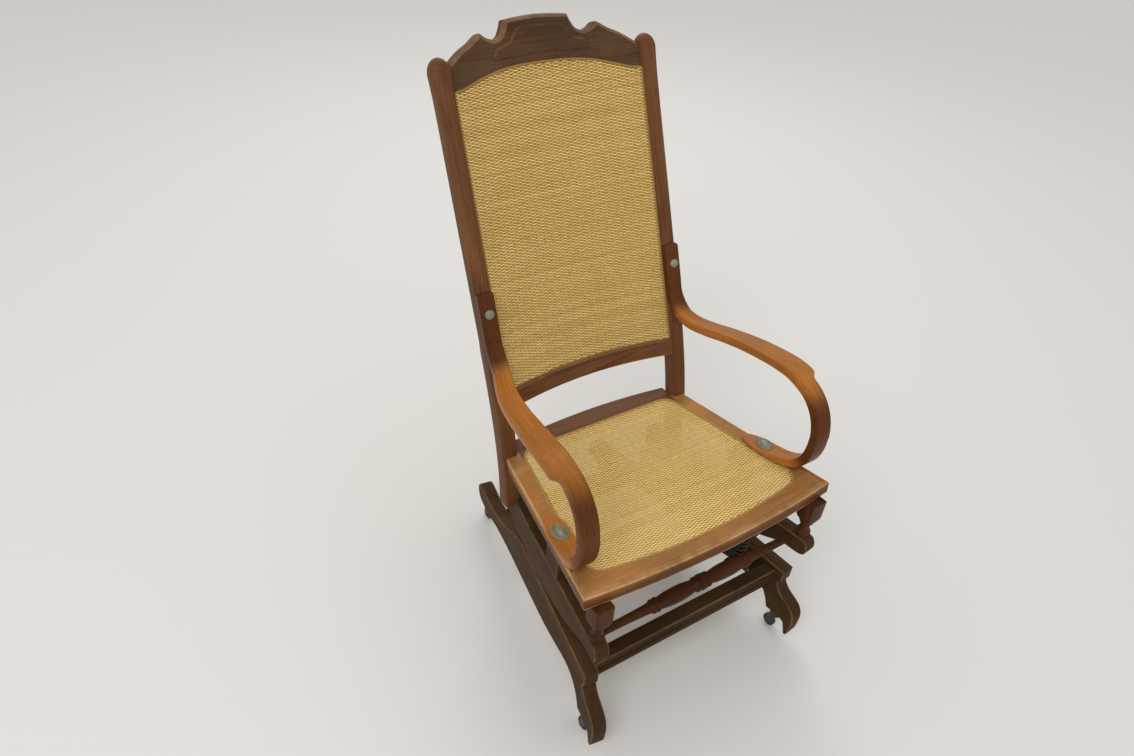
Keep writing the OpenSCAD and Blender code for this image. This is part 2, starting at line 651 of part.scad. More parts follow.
// The turned front stretcher, about Z and centred on zero
module stretcher_turning() {
    l = stretcher_half();
    half = [for (p = stretcher_shares) [p[1] * stretcher_d / 2, p[0] * l]];
    rotate_extrude() polygon(concat([[0, l]], reversed(half), [for (p = half) [p[0], -p[1]]], [[0, -l]]));
}

// Half the length between the rockers at a distance y behind the toes
function between_rockers(y) = base_w / 2 - base_t / 2 - rocker_t / 2 / cos(splay) - y * tan(splay);
function stretcher_half() = between_rockers(stretcher_y);

module stretcher_tenons(grow) placed() translate([0, stretcher_y, stretcher_z]) rotate([0, 90, 0])
    cylinder(d = tenon_d + 2 * grow, h = 2 * (stretcher_half() + tenon_l + grow), center = true);

module front_stretcher() color(red_wood) union() {
    difference() {
        placed() translate([0, stretcher_y, stretcher_z]) rotate([0, 90, 0]) stretcher_turning();
        for (s = [LEFT, RIGHT]) outside_of_board(s, rocker_t);
    }
    stretcher_tenons(0);
}

// Midway between the rocker's rolling edge and its top
function back_stretcher_z() =
    (rolling_edge(back_stretcher_y) + contact_z + rocker_rise * rocker_top_shares[5][1]) / 2;

module back_stretcher_body(grow) placed() translate([0, back_stretcher_y, back_stretcher_z()])
    rotate([0, 90, 0]) cylinder(d = back_stretcher_d + 2 * grow,
        h = 2 * (between_rockers(back_stretcher_y) + tenon_l + grow), center = true);

module back_stretcher() color(dark_wood) back_stretcher_body(0);

/* Seat */

// Half width of the seat frame at a distance y behind its front corners
function seat_half(y) = lerp(seat_front_w, seat_back_w, y / seat_l) / 2;

function front_edge(inset) = [for (i = [0 : bow_steps])
    let (t = lerp(-1, 1, i / bow_steps))
    [t * seat_front_w / 2, inset - seat_bow * (1 - t * t)]];

function seat_back_y() = seat_l + back_rail_w;

function back_edge(inset) = [for (i = [0 : bow_steps])
    let (t = lerp(1, -1, i / bow_steps))
    [t * back_w / 2, seat_back_y() - inset + back_rail_bow * (1 - t * t)]];

// A quarter round between two directions, about a centre
function corner(c, r, from) = [for (i = [0 : corner_steps])
    let (a = from + quarter_turn * i / corner_steps)
    c + r * [cos(a), sin(a)]];

// The rounded opening for the cane, grown by g all round
function cane_opening(g) =
    let (r = cane_corner_r, y0 = front_rail_w - g, y1 = seat_l + g,
        xf = seat_half(y0 + r) - side_rail_w + g, xb = back_w / 2 - cane_post_in + g)
    concat(corner([-xf + r, y0 + r], r, 180),
        [for (i = [1 : bow_steps - 1])
            let (t = lerp(-1, 1, i / bow_steps))
            [t * (xf - r), y0 - seat_bow * (1 - t * t)]],
        corner([xf - r, y0 + r], r, 270), corner([xb - r, y1 - r], r, 0), corner([-xb + r, y1 - r], r, 90));

module seat_plan() polygon(concat(front_edge(0), [[seat_back_w / 2, seat_l], [back_w / 2, seat_l]],
    back_edge(0), [[-back_w / 2, seat_l], [-seat_back_w / 2, seat_l]]));

module seat_slab(top, t) seat_frame() translate([0, 0, top - t]) linear_extrude(t) children();

// The front rail is made in layers, so that its front edge is rounded
module seat_front_rail() color(honey_wood) for (i = [0 : len(seat_edge_shares) - 2])
    let (z0 = seat_edge_shares[i][0], z1 = seat_edge_shares[i + 1][0])
    seat_slab(-z0 * seat_t, (z1 - z0) * seat_t) difference() {
        polygon(concat(front_edge(seat_edge_in * (1 - seat_edge_shares[i][1])),
            [[seat_half(front_joint), front_joint], [-seat_half(front_joint), front_joint]]));
        polygon(cane_opening(0));
    }

module seat_side_rail(s) color(honey_wood) difference() {
    seat_slab(0, seat_t) difference() {
        intersection() {
            seat_plan();
            side(s) translate([0, front_joint]) square([seat_front_w, seat_l - front_joint]);
        }
        polygon(cane_opening(0));
    }
    back_post_raw(s);
    seat_corner_cut(s);
}

// The side rail ends at the inner face of the post, where the back rail takes over
module seat_corner_cut(s) seat_frame() side(s)
    translate([0, seat_l - cane_corner_r, -2 * seat_t]) cube([back_w / 2 - rail_lap, seat_l, 4 * seat_t]);

module seat_back_rail() color(red_wood) seat_slab(0, seat_t) difference() {
    intersection() {
        seat_plan();
        union() {
            translate([rail_lap - back_w / 2, seat_l - cane_corner_r]) square([back_w - 2 * rail_lap, seat_l]);
            translate([-back_w / 2, seat_l]) square([back_w, seat_l]);
        }
    }
    polygon(cane_opening(0));
}

module seat_cane() color(cane_colour) seat_slab(-cane_sink, cane_t) polygon(cane_opening(-run_gap));

module seat_spline() color(cane_colour) seat_slab(spline_rise, cane_sink + spline_rise) difference() {
    polygon(cane_opening(-run_gap));
    polygon(cane_opening(-run_gap - spline_w));
}

/* Back */

// A part of the bowed back, from its front face, w0 behind the posts' fronts, to t behind it
module bowed(w0, t) translate([0, cane_setback + back_bow - back_r, 0]) difference() {
    cylinder(r = back_r + w0 - cane_setback + t, h = 3 * post_l, center = true, $fn = 200);
    cylinder(r = back_r + w0 - cane_setback, h = 4 * post_l, center = true, $fn = 200);
}

// An outline in X and height along the back, cut out of the bowed back
module back_piece(w0, t) back_frame() intersection() {
    bowed(w0, t);
    translate([0, post_l, 0]) rotate([90, 0, 0]) linear_extrude(2 * post_l) children();
}

function crest_low() = smooth(shifted(scaled(crest_low_shares, back_w / 2, crest_h), [0, crest_foot_v]), 2);
function crest_top() = concat(
    smooth(shifted(scaled([for (i = [0 : 8]) crest_top_shares[i]], back_w / 2, crest_h), [0, crest_foot_v]), 3),
    shifted(scaled([for (i = [9 : 11]) crest_top_shares[i]], back_w / 2, crest_h), [0, crest_foot_v]));

module crest_rail() color(dark_wood) back_piece(crest_front_w, crest_t)
    polygon(concat(both_halves(crest_top()), reversed(both_halves(crest_low()))));

module crest_panel() color(dark_wood) back_piece(crest_front_w - panel_t, panel_t) polygon(concat(
    both_halves(shifted(smooth(scaled(panel_top_shares, panel_w, panel_h), 2), [0, panel_foot_v])),
    reversed(both_halves(shifted(scaled(panel_low_shares, panel_w, panel_h), [0, panel_foot_v])))));

function crowned(v) = [for (i = [0 : bow_steps])
    let (t = lerp(1, -1, i / bow_steps))
    [t * back_w / 2, v + cross_crown * (1 - t * t)]];

function cross_top_v() = cross_rail_h - cross_rail_drop;

module cross_rail() color(dark_wood) difference() {
    back_piece(cross_front_w, cross_rail_t)
        polygon(concat(crowned(cross_top_v()), reversed(crowned(-cross_rail_drop))));
    for (s = [LEFT, RIGHT]) back_post_raw(s);
}

// The cane's outline, drawn in by g all round
function back_opening(g) = concat(
    [for (p = both_halves(crest_low())) [p[0] * (1 - 2 * g / back_w), p[1] - g]],
    reversed([for (p = crowned(cross_top_v())) [p[0] * (1 - 2 * g / back_w), p[1] + g]]));

module back_cane() color(cane_colour) back_piece(cane_setback, cane_t) polygon(back_opening(run_gap));

module back_spline() color(cane_colour) back_piece(cane_setback - spline_rise, spline_rise) difference() {
    polygon(back_opening(run_gap));
    polygon(back_opening(run_gap + spline_w));
}

/* Arms */

function arm_line() = smooth(concat(
    [for (v = arm_post_heights) [bend_y, bend_z] + v * [sin(recline), cos(recline)]],
    shifted(scaled(arm_line_shares, arm_reach, arm_rise), [arm_front_y, arm_foot_z])), arm_steps);

function arm_half(i) = let (k = min(floor(i / arm_steps), len(arm_thick_shares) - 2))
    lerp(arm_thick_shares[k], arm_thick_shares[k + 1], i / arm_steps - k) * arm_t / 2;

module arm_side_outline() {
    p = arm_line();
    polygon(concat([for (i = [0 : len(p) - 1]) p[i] + arm_half(i) * normal(p, i)],
        reversed([for (i = [0 : len(p) - 1]) p[i] - arm_half(i) * normal(p, i)])));
}

// The band's inner and outer edge, from the inner face of the post, for one row of its plan
function arm_inner(p) = p[1] / arm_rest_share * (arm_spread - arm_w);
function arm_outer(p) = arm_inner(p) + (p[2] - p[1]) / (1 - arm_rest_share) * arm_w;

// The edges of an arm from above, between two heights
module arm_plan(shares, z0, z1) placed() translate([0, 0, z0]) linear_extrude(z1 - z0)
    translate([back_w / 2, arm_front_y]) polygon(concat([for (p = shares) [arm_inner(p), p[0] * arm_reach]],
        reversed([for (p = shares) [arm_outer(p), p[0] * arm_reach]])));

function arm_split_z() = arm_foot_z + arm_split_share * arm_rise;

module arm_raw(s) side(s) intersection() {
    placed() translate([back_w / 2, 0, 0]) upright(4 * arm_spread) arm_side_outline();
    union() {
        arm_plan(arm_top_plan_shares, arm_split_z(), arm_foot_z + 2 * arm_rise);
        arm_plan(arm_low_plan_shares, arm_foot_z - arm_rise, arm_split_z());
    }
}

// The foot rests on the frame, and where it overhangs the cane it clears the spline
module arm(s) color(red_wood) difference() {
    arm_raw(s);
    seat_slab(0, seat_t) seat_plan();
    seat_slab(spline_rise + run_gap, seat_t) polygon(cane_opening(0));
    arm_bolt(s, fit_gap);
}

// The strip is as thick as the band and lies along its outer edge
module arm_strip(s) color(red_wood) side(s) intersection() {
    placed() translate([back_w / 2, 0, 0]) upright(4 * arm_spread) arm_side_outline();
    placed() translate([0, 0, arm_split_z()]) linear_extrude(arm_rise) translate([back_w / 2, arm_front_y])
        difference() {
            polygon(concat([for (p = arm_strip_shares) [arm_edge(p[0]), p[0] * arm_reach]],
                reversed([for (p = arm_strip_shares)
                    [arm_edge(p[0]) + p[1] * arm_strip_w, p[0] * arm_reach]])));
            polygon(concat([for (p = arm_top_plan_shares) [0, p[0] * arm_reach]],
                reversed([for (p = arm_top_plan_shares) [arm_outer(p), p[0] * arm_reach]])));
        }
}

// Outer edge of the bare band at a share of the arm's reach
function arm_edge(y) = lookup(y, [for (p = reversed(arm_top_plan_shares)) [p[0], arm_outer(p)]]);

// A bolt through arm and post, square to the back
module arm_bolt(s, grow) back_frame() side(s)
    translate([back_w / 2 + post_w / 2, -arm_t / 2, bolt_rise]) rotate([-90, 0, 0]) {
        cylinder(d = bolt_d + 2 * grow, h = bolt_l() + over * (grow > 0 ? 4 : 0));
        if (grow > 0) translate([0, 0, -2 * over]) cylinder(d = bolt_d + 2 * grow, h = 4 * over);
        if (grow == 0) intersection() {
            translate([0, 0, -bolt_head_h]) cylinder(d = bolt_head_d, h = bolt_head_h);
            translate([0, 0, bolt_dome_r() - bolt_head_h]) sphere(r = bolt_dome_r());
        }
    }

function bolt_l() = post_d + arm_t / 2 + washer_t + nut_t + nut_sink;
function bolt_dome_r() = (bolt_head_d * bolt_head_d / 4 + bolt_head_h * bolt_head_h) / (2 * bolt_head_h);

module arm_bolts() color(bronze) for (s = [LEFT, RIGHT]) arm_bolt(s, 0);

module arm_nuts() color(bronze) for (s = [LEFT, RIGHT]) back_frame() side(s)
    translate([back_w / 2 + post_w / 2, post_d, bolt_rise]) rotate([-90, 0, 0]) difference() {
        union() {
            cylinder(d = washer_d, h = washer_t);
            cylinder(d = nut_w, h = washer_t + nut_t, $fn = 6);
        }
        translate([0, 0, -over]) cylinder(d = bolt_d + 2 * fit_gap, h = nut_t + 3 * over);
    }

function ellipse(l, w) = [for (i = [0 : 4 * oval_steps - 1])
    let (a = quarter_turn * i / oval_steps)
    [w / 2 * cos(a), l / 2 * sin(a)]];

// Height of the seat's top at a distance y behind the toes
function seat_top(y) = seat_z - (y - seat_y) * tan(seat_slope);

module arm_rosettes() color(bronze) for (s = [LEFT, RIGHT]) difference() {
    placed() side(s) translate([rosette_x, rosette_y, seat_top(rosette_y)]) rotate([-seat_slope, 0, 0])
        for (i = [0 : len(rosette_shares) - 2]) let (p = rosette_shares[i], q = rosette_shares[i + 1])
            translate([0, 0, (i > 0 ? arm_foot_h : 0) + p[0] * rosette_h])
                linear_extrude((i > 0 ? 0 : arm_foot_h) + (q[0] - p[0]) * rosette_h)
                    polygon(ellipse(rosette_l * p[1], rosette_w * p[1]));
    arm_raw(s);
}

/* Springs */

function spring_angle(i) = 360 * i / rings_per_curl;

// The path of a spring: a straight foot, the curls, and a straight head
function spring_path() =
    let (n = curls * rings_per_curl, r = coil_d / 2)
    concat([[r, 0, 0]],
        [for (i = [0 : n]) [r * cos(spring_angle(i)), r * sin(spring_angle(i)),
            lerp(wire_d, spring_h - wire_d, i / n)]],
        [[r * cos(spring_angle(n)), r * sin(spring_angle(n)), spring_h]]);

function unit(v) = v / norm(v);

// Direction of the tube at point i: square to the shelves at both ends
function tube_way(p, i) = i == 0 || i == len(p) - 1 ? [0, 0, 1]
    : unit(unit(p[i + 1] - p[i]) + unit(p[i] - p[i - 1]));

function tube_ring(p, i) =
    let (out = unit([p[i][0], p[i][1], 0]), across = cross(tube_way(p, i), out))
    [for (k = [0 : tube_sides - 1])
        let (a = 360 * k / tube_sides)
        p[i] + wire_d / 2 * (cos(a) * out + sin(a) * across)];

module spring_tube() {
    p = spring_path();
    last = len(p) - 1;
    m = tube_sides;
    polyhedron(points = [for (i = [0 : last]) each tube_ring(p, i)],
        faces = concat([for (k = [1 : m - 2]) [0, k, k + 1]],
            [for (i = [0 : last - 1], k = [0 : m - 1])
                [i * m + k, (i + 1) * m + k, (i + 1) * m + (k + 1) % m]],
            [for (i = [0 : last - 1], k = [0 : m - 1])
                [i * m + k, (i + 1) * m + (k + 1) % m, i * m + (k + 1) % m]],
            [for (k = [1 : m - 2]) [last * m, last * m + k + 1, last * m + k]]), convexity = 10);
}

function least(v) = min([for (x = v) x]);

// Least gap of the tube to itself, measured between points at least three quarters of a curl apart
function spring_gap() =
    let (p = spring_path(), apart = 3 * rings_per_curl / 4)
    least([for (i = [0 : len(p) - 1], j = [0 : len(p) - 1]) if (j - i >= apart) norm(p[i] - p[j])]) - wire_d;

echo(spring_least_gap_mm = spring_gap());

module spring(s, y) color(iron)
    board(s) translate([lower_face() - bracket_t - spring_in, y, shelf_z]) spring_tube();

base_side(LEFT);  // base_side_left
base_side(RIGHT);  // base_side_right
base_front_rail();
base_back_rail();
lower_brackets(LEFT);  // lower_brackets_left
lower_brackets(RIGHT);  // lower_brackets_right
base_screws();
caster_sockets();
caster_fork(LEFT, caster_front_y);  // caster_fork_front_left
caster_fork(RIGHT, caster_front_y);  // caster_fork_front_right
caster_fork(LEFT, caster_back_y);  // caster_fork_back_left
caster_fork(RIGHT, caster_back_y);  // caster_fork_back_right
caster_axle(LEFT, caster_front_y);  // caster_axle_front_left
caster_axle(RIGHT, caster_front_y);  // caster_axle_front_right
caster_axle(LEFT, caster_back_y);  // caster_axle_back_left
caster_axle(RIGHT, caster_back_y);  // caster_axle_back_right
caster_wheel(LEFT, caster_front_y);  // caster_wheel_front_left
caster_wheel(RIGHT, caster_front_y);  // caster_wheel_front_right
caster_wheel(LEFT, caster_back_y);  // caster_wheel_back_left
caster_wheel(RIGHT, caster_back_y);  // caster_wheel_back_right
rocker(LEFT);  // rocker_left
rocker(RIGHT);  // rocker_right
front_post(LEFT);  // front_post_left
front_post(RIGHT);  // front_post_right
seat_block(LEFT);  // seat_block_left
seat_block(RIGHT);  // seat_block_right
back_post(LEFT);  // back_post_left
back_post(RIGHT);  // back_post_right
front_stretcher();
back_stretcher();
seat_front_rail();
seat_back_rail();
seat_side_rail(LEFT);  // seat_side_rail_left
seat_side_rail(RIGHT);  // seat_side_rail_right
seat_cane();
seat_spline();
crest_rail();
crest_panel();
cross_rail();
back_cane();
back_spline();
arm(LEFT);  // arm_left
arm(RIGHT);  // arm_right
arm_strip(LEFT);  // arm_strip_left
arm_strip(RIGHT);  // arm_strip_right
arm_bolts();
arm_nuts();
arm_rosettes();
upper_brackets(LEFT);  // upper_brackets_left
upper_brackets(RIGHT);  // upper_brackets_right
rocker_screws();
spring(LEFT, spring_front_y);  // spring_front_left
spring(RIGHT, spring_front_y);  // spring_front_right
spring(LEFT, spring_back_y);  // spring_back_left
spring(RIGHT, spring_back_y);  // spring_back_right
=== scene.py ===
"""Looks of a platform rocker: shaped wood, woven cane, springs and casters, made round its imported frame.

Sizes are in millimetres, as in the frame's own plan, and each finished mesh is in metres.
"""

from __future__ import annotations

import logging
import math
from collections.abc import Callable, Sequence
from dataclasses import dataclass, replace
from enum import Enum
from functools import cached_property
from itertools import pairwise

import bmesh
import bpy
import numpy as np
from bpy.types import ID, Material, Mesh, Node, NodeSocket, NodeTree, Object
from mathutils import Matrix, Vector

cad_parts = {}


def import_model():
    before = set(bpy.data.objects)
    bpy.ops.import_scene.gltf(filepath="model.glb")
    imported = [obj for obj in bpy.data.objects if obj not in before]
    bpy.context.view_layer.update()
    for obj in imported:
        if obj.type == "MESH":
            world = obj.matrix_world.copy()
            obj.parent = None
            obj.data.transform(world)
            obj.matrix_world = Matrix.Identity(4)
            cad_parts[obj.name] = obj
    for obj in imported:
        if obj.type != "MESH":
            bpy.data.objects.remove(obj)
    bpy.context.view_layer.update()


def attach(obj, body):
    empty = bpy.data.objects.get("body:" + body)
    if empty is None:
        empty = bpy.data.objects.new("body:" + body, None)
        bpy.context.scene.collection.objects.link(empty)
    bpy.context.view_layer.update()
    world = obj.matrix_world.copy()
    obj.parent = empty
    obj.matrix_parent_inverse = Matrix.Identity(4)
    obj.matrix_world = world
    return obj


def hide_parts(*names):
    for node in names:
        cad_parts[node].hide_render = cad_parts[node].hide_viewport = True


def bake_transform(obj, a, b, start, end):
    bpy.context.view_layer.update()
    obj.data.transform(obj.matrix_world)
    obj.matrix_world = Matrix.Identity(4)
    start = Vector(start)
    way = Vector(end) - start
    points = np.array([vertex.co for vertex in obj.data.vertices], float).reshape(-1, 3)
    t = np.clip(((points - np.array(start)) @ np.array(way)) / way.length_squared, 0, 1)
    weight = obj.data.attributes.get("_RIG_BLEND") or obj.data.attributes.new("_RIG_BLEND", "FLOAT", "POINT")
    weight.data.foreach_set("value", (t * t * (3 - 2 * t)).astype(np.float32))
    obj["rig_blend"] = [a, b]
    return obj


LOG = logging.getLogger("rocker")
MM = 0.001
SHARP = math.radians(42)  # edges that turn more stay sharp
STRAIGHT = 0.12  # the sine of a corner that is drawn in as if it were straight

Place = Callable[[np.ndarray], np.ndarray]
Put = Callable[[float, float, float], tuple[float, float, float]]
Outline = list[tuple[float, float]]
Rgb = tuple[float, float, float]


class Side(Enum):
    """The two sides of the chair, as the sign of X."""

    LEFT = -1
    RIGHT = 1

    @property
    def word(self) -> str:
        """The side's name in node names."""
        return self.name.lower()


class End(Enum):
    """The two ends of the base."""

    FRONT = "front"
    BACK = "back"


class Slot(Enum):
    """Names of the material slots."""

    DARK_WOOD = "dark_wood"
    RED_WOOD = "red_wood"
    HONEY_WOOD = "honey_wood"
    WOVEN_CANE = "woven_cane"
    IRON = "iron"
    BRONZE = "bronze"
    CASTER_BLACK = "caster_black"


def lerp(a: float, b: float, t: float) -> float:
    """The value at share t between a and b."""
    return a + (b - a) * t


def even(a: float, b: float, count: int) -> list[float]:
    """The values at count even steps from a to b, with both ends."""
    return [lerp(a, b, k / count) for k in range(count + 1)]


def as_drawn(x: float, y: float, z: float) -> tuple[float, float, float]:
    """Leaves a point as it is drawn."""
    return x, y, z


def upright(x: float, y: float) -> Put:
    """Stands a turning upright on a point."""
    return lambda u, v, height: (x + u, y + v, height)


def lying(y: float, z: float) -> Put:
    """Lays a turning or a board from side to side through a point."""
    return lambda u, v, height: (height, y + u, z + v)


def smooth(points: Sequence[tuple[float, float]], steps: int) -> Outline:
    """A smooth curve through some points.

    Args:
        points: The points that the curve passes.
        steps: Pieces between two points.

    Returns:
        The points of the curve, with the given ones among them.
    """
    p = [np.array(q, float) for q in points]
    last = len(p) - 1
    line = []
    for i in range(last):
        a, b, c, d = p[max(i - 1, 0)], p[i], p[i + 1], p[min(i + 2, last)]
        for k in range(steps):
            t = k / steps
            q = 2 * b + (c - a) * t + (2 * a - 5 * b + 4 * c - d) * t**2 + (3 * b - 3 * c + d - a) * t**3
            line.append(tuple(q / 2))
    return [*line, tuple(p[last])]


def scaled(shares: Sequence[tuple[float, float]], l: float, h: float, at: tuple[float, float] = (0, 0)) -> Outline:
    """A table of shares as points, l long and h high, from the point at."""
    return [(at[0] + s[0] * l, at[1] + s[1] * h) for s in shares]


def both_halves(half: Outline) -> Outline:
    """A half outline that runs from one end to the middle, with its mirror image after it."""
    return [*half, *[(-x, y) for x, y in half[-2::-1]]]


def drawn_in(outline: Outline, distances: Sequence[float]) -> Outline:
    """An outline with each edge moved inwards.

    Args:
        outline: Points against the clock.
        distances: How far the edge after each point moves.

    Returns:
        As many points, where the moved edges meet.
    """
    p = np.array(outline, float)
    ways = np.roll(p, -1, axis=0) - p
    ways /= np.maximum(np.linalg.norm(ways, axis=1, keepdims=True), 1e-9)
    inward = np.stack([-ways[:, 1], ways[:, 0]], axis=1)
    moved = []
    for i, point in enumerate(p):
        a, b, da, db = inward[i - 1], inward[i], distances[i - 1], distances[i]
        turn = a[0] * b[1] - a[1] * b[0]
        if abs(turn) > STRAIGHT:
            shift = np.array([da * b[1] - db * a[1], db * a[0] - da * b[0]]) / turn
        else:
            shift = (da + db) / 2 * (a + b) / np.linalg.norm(a + b)
        moved.append(tuple(point + shift))
    return moved


def rounded(low: float, high: float, low_r: float, high_r: float, steps: int = 3) -> Outline:
    """A board's edge seen from its end: how far it is drawn in at each height, with both corners rounded.

    Args:
        low: Height of the lower face.
        high: Height of the upper face.
        low_r: Radius of the lower corner.
        high_r: Radius of the upper corner.
        steps: Pieces in each corner.

    Returns:
        Pairs of inset and height, from low to high.
    """
    turns = even(0, math.pi / 2, steps)
    lower = [(low_r * (1 - math.sin(a)), low + low_r * (1 - math.cos(a))) for a in turns]
    upper = [(high_r * (1 - math.sin(a)), high - high_r * (1 - math.cos(a))) for a in turns]
    return [*lower, *upper[::-1]]


def runs(line: Sequence[Sequence[float]]) -> list[tuple[np.ndarray, float]]:
    """For each point of a line, the way that the line takes there and its length up to there."""
    found, along = [], 0.0
    for i, point in enumerate(line):
        before, after = line[max(i - 1, 0)], line[min(i + 1, len(line) - 1)]
        way = np.array([after[0] - before[0], after[1] - before[1]])
        along += math.dist(point[:2], before[:2])
        found.append((way / np.linalg.norm(way), along))
    return found


def inside(points: np.ndarray, outline: Outline) -> np.ndarray:
    """Which points lie inside an outline.

    Args:
        points: Rows whose first two numbers are used.
        outline: The closed outline.

    Returns:
        One truth value for each row.
    """
    x, y = points[:, 0], points[:, 1]
    found = np.zeros(len(points), bool)
    for (x0, y0), (x1, y1) in pairwise([*outline, outline[0]]):
        if y0 == y1:
            continue
        crosses = (y0 > y) != (y1 > y)
        found ^= crosses & (x < x0 + (y - y0) / (y1 - y0) * (x1 - x0))
    return found


@dataclass(frozen=True)
class Plan:
    """Driving sizes of the chair, and the frames that its parts are drawn in."""

    base_in: float = 11
    heel_out: float = 182
    base_h: float = 187
    base_t: float = 30
    contact_y: float = 306
    crown_h: float = 5.2
    furthest_rock: float = 8.5
    rocker_t: float = 28
    rocker_r: float = 430
    rocker_nose_y: float = 25
    rocker_tail_out: float = 27.7
    rocker_in: float = 3.5
    rocker_rise: float = 109
    seat_front_w: float = 540
    seat_corner_out: float = 25
    seat_l: float = 378
    seat_y: float = 54
    seat_z: float = 425
    seat_slope: float = math.radians(5.6)
    seat_t: float = 29
    back_w: float = 380
    back_bow: float = 28
    recline: float = math.radians(21.7)
    bend_out: float = 55
    bend_z: float = 600
    post_w: float = 32
    post_d: float = 34
    post_foot_in: float = 24
    crest_foot_v: float = 448
    crest_h: float = 112
    crest_t: float = 26
    crest_front_w: float = 10
    cane_setback: float = 7
    arm_front_y: float = 90
    arm_past_bend: float = 33
    arm_in: float = 5
    arm_t: float = 18
    run_gap: float = 0.3

    @property
    def base_w(self) -> float:
        """Outside width of the base across its toes."""
        return self.seat_front_w - 2 * self.base_in

    @property
    def post_foot_y(self) -> float:
        """Distance of the posts' front faces behind the toes, at their feet."""
        return self.seat_y + self.seat_l - self.post_foot_in

    @property
    def bend_y(self) -> float:
        """The same at the posts' bend."""
        return self.seat_y + self.seat_l + self.bend_out

    @property
    def splay(self) -> float:
        """Angle by which each side board draws in towards the back."""
        across = self.base_w / 2 - self.base_t / 2 - self.back_w / 2 + self.rocker_in
        return math.atan(across / (self.post_foot_y + self.post_d / 2))

    @property
    def rocker_l(self) -> float:
        """Length of each rocker."""
        tail = self.post_foot_y + self.post_d + self.rocker_tail_out
        return tail / math.cos(self.splay) - self.rocker_nose_y

    @property
    def base_l(self) -> float:
        """Length of each base side board."""
        return self.rocker_nose_y + self.rocker_l + self.heel_out

    @property
    def contact_z(self) -> float:
        """Height of the rocking line."""
        return self.base_h + self.crown_h + self.run_gap

    @property
    def contact_a(self) -> float:
        """Place of the rocking line along a side board."""
        return self.contact_y / math.cos(self.splay)

    @property
    def arm_reach(self) -> float:
        """Length that the arm's shares are taken of."""
        return self.bend_y - self.arm_front_y + self.arm_past_bend

    @property
    def arm_spread(self) -> float:
        """How far the bent bands spread outwards from the posts."""
        return self.seat_front_w / 2 - self.back_w / 2 - self.arm_in

    @property
    def back_r(self) -> float:
        """Radius of the bowed back."""
        return (self.back_w**2 / 4 + self.back_bow**2) / (2 * self.back_bow)

    @property
    def mid_y(self) -> float:
        """Distance of the frame's origin behind the toes."""
        top = (self.crest_foot_v + self.crest_h) * math.sin(self.recline)
        behind = (self.crest_front_w + self.back_bow + self.crest_t) * math.cos(self.recline)
        return (self.bend_y + top + behind - self.base_t / 2 * math.sin(self.splay)) / 2

    def seat_top(self, y: float) -> float:
        """Height of the seat's top at a distance y behind the toes."""
        return self.seat_z - (y - self.seat_y) * math.tan(self.seat_slope)

    def inner_face(self, y: float, thickness: float) -> float:
        """Half the width between two side boards of some thickness, at a distance y behind the toes."""
        half = self.base_w / 2 - self.base_t / 2 - y * math.tan(self.splay)
        return half - thickness / 2 / math.cos(self.splay)

    def rolling_edge(self, a: float) -> float:
        """Height of a rocker's lower edge at a distance a along its board."""
        return self.contact_z + self.rocker_r - math.sqrt(self.rocker_r**2 - (a - self.contact_a) ** 2)

    def on_floor(self, p: np.ndarray) -> np.ndarray:
        """Places points given as distance to the right, behind the toes and above the floor."""
        return (p - [0, self.mid_y, 0]) * MM

    def on_side(self, side: Side) -> Place:
        """The same frame, mirrored for the left side."""
        return lambda p: self.on_floor(p * [side.value, 1, 1])

    def on_board(self, side: Side) -> Place:
        """The frame of a side board: along it from the toe, up, and outwards from its middle plane."""
        c, s = math.cos(self.splay), math.sin(self.splay)

        def place(p: np.ndarray) -> np.ndarray:
            """Places points along, up and outwards."""
            x = self.base_w / 2 - self.base_t / 2 + p[:, 2] * c - p[:, 0] * s
            y = p[:, 2] * s + p[:, 0] * c
            return self.on_floor(np.stack([side.value * x, y, p[:, 1]], axis=1))

        return place

    def on_seat(self, p: np.ndarray) -> np.ndarray:
        """Places points given to the right, behind the seat's front corners and above its top."""
        c, s = math.cos(self.seat_slope), math.sin(self.seat_slope)
        y = self.seat_y + p[:, 1] * c + p[:, 2] * s
        z = self.seat_z - p[:, 1] * s + p[:, 2] * c
        return self.on_floor(np.stack([p[:, 0], y, z], axis=1))

    def on_seat_side(self, side: Side) -> Place:
        """The same frame, mirrored for the left side."""
        return lambda p: self.on_seat(p * [side.value, 1, 1])

    def on_back(self, p: np.ndarray) -> np.ndarray:
        """Places points given to the right, up the posts from their bend, and behind their front faces."""
        c, s = math.cos(self.recline), math.sin(self.recline)
        y = self.bend_y + p[:, 2] * c + p[:, 1] * s
        z = self.bend_z - p[:, 2] * s + p[:, 1] * c
        return self.on_floor(np.stack([p[:, 0], y, z], axis=1))

    def on_bow(self, p: np.ndarray) -> np.ndarray:
        """Places points as on_back does, with the depth measured from the bow of the back."""
        r = self.back_r + p[:, 2] - self.cane_setback
        depth = self.cane_setback + self.back_bow - self.back_r + np.sqrt(r**2 - p[:, 0] ** 2)
        return self.on_back(np.stack([p[:, 0], p[:, 1], depth], axis=1))


def shown(name: str, data: ID) -> Object:
    """Makes an object of a mesh, a lamp or a camera, in the scene."""
    made = bpy.data.objects.new(name, data)
    bpy.context.scene.collection.objects.link(made)
    return made


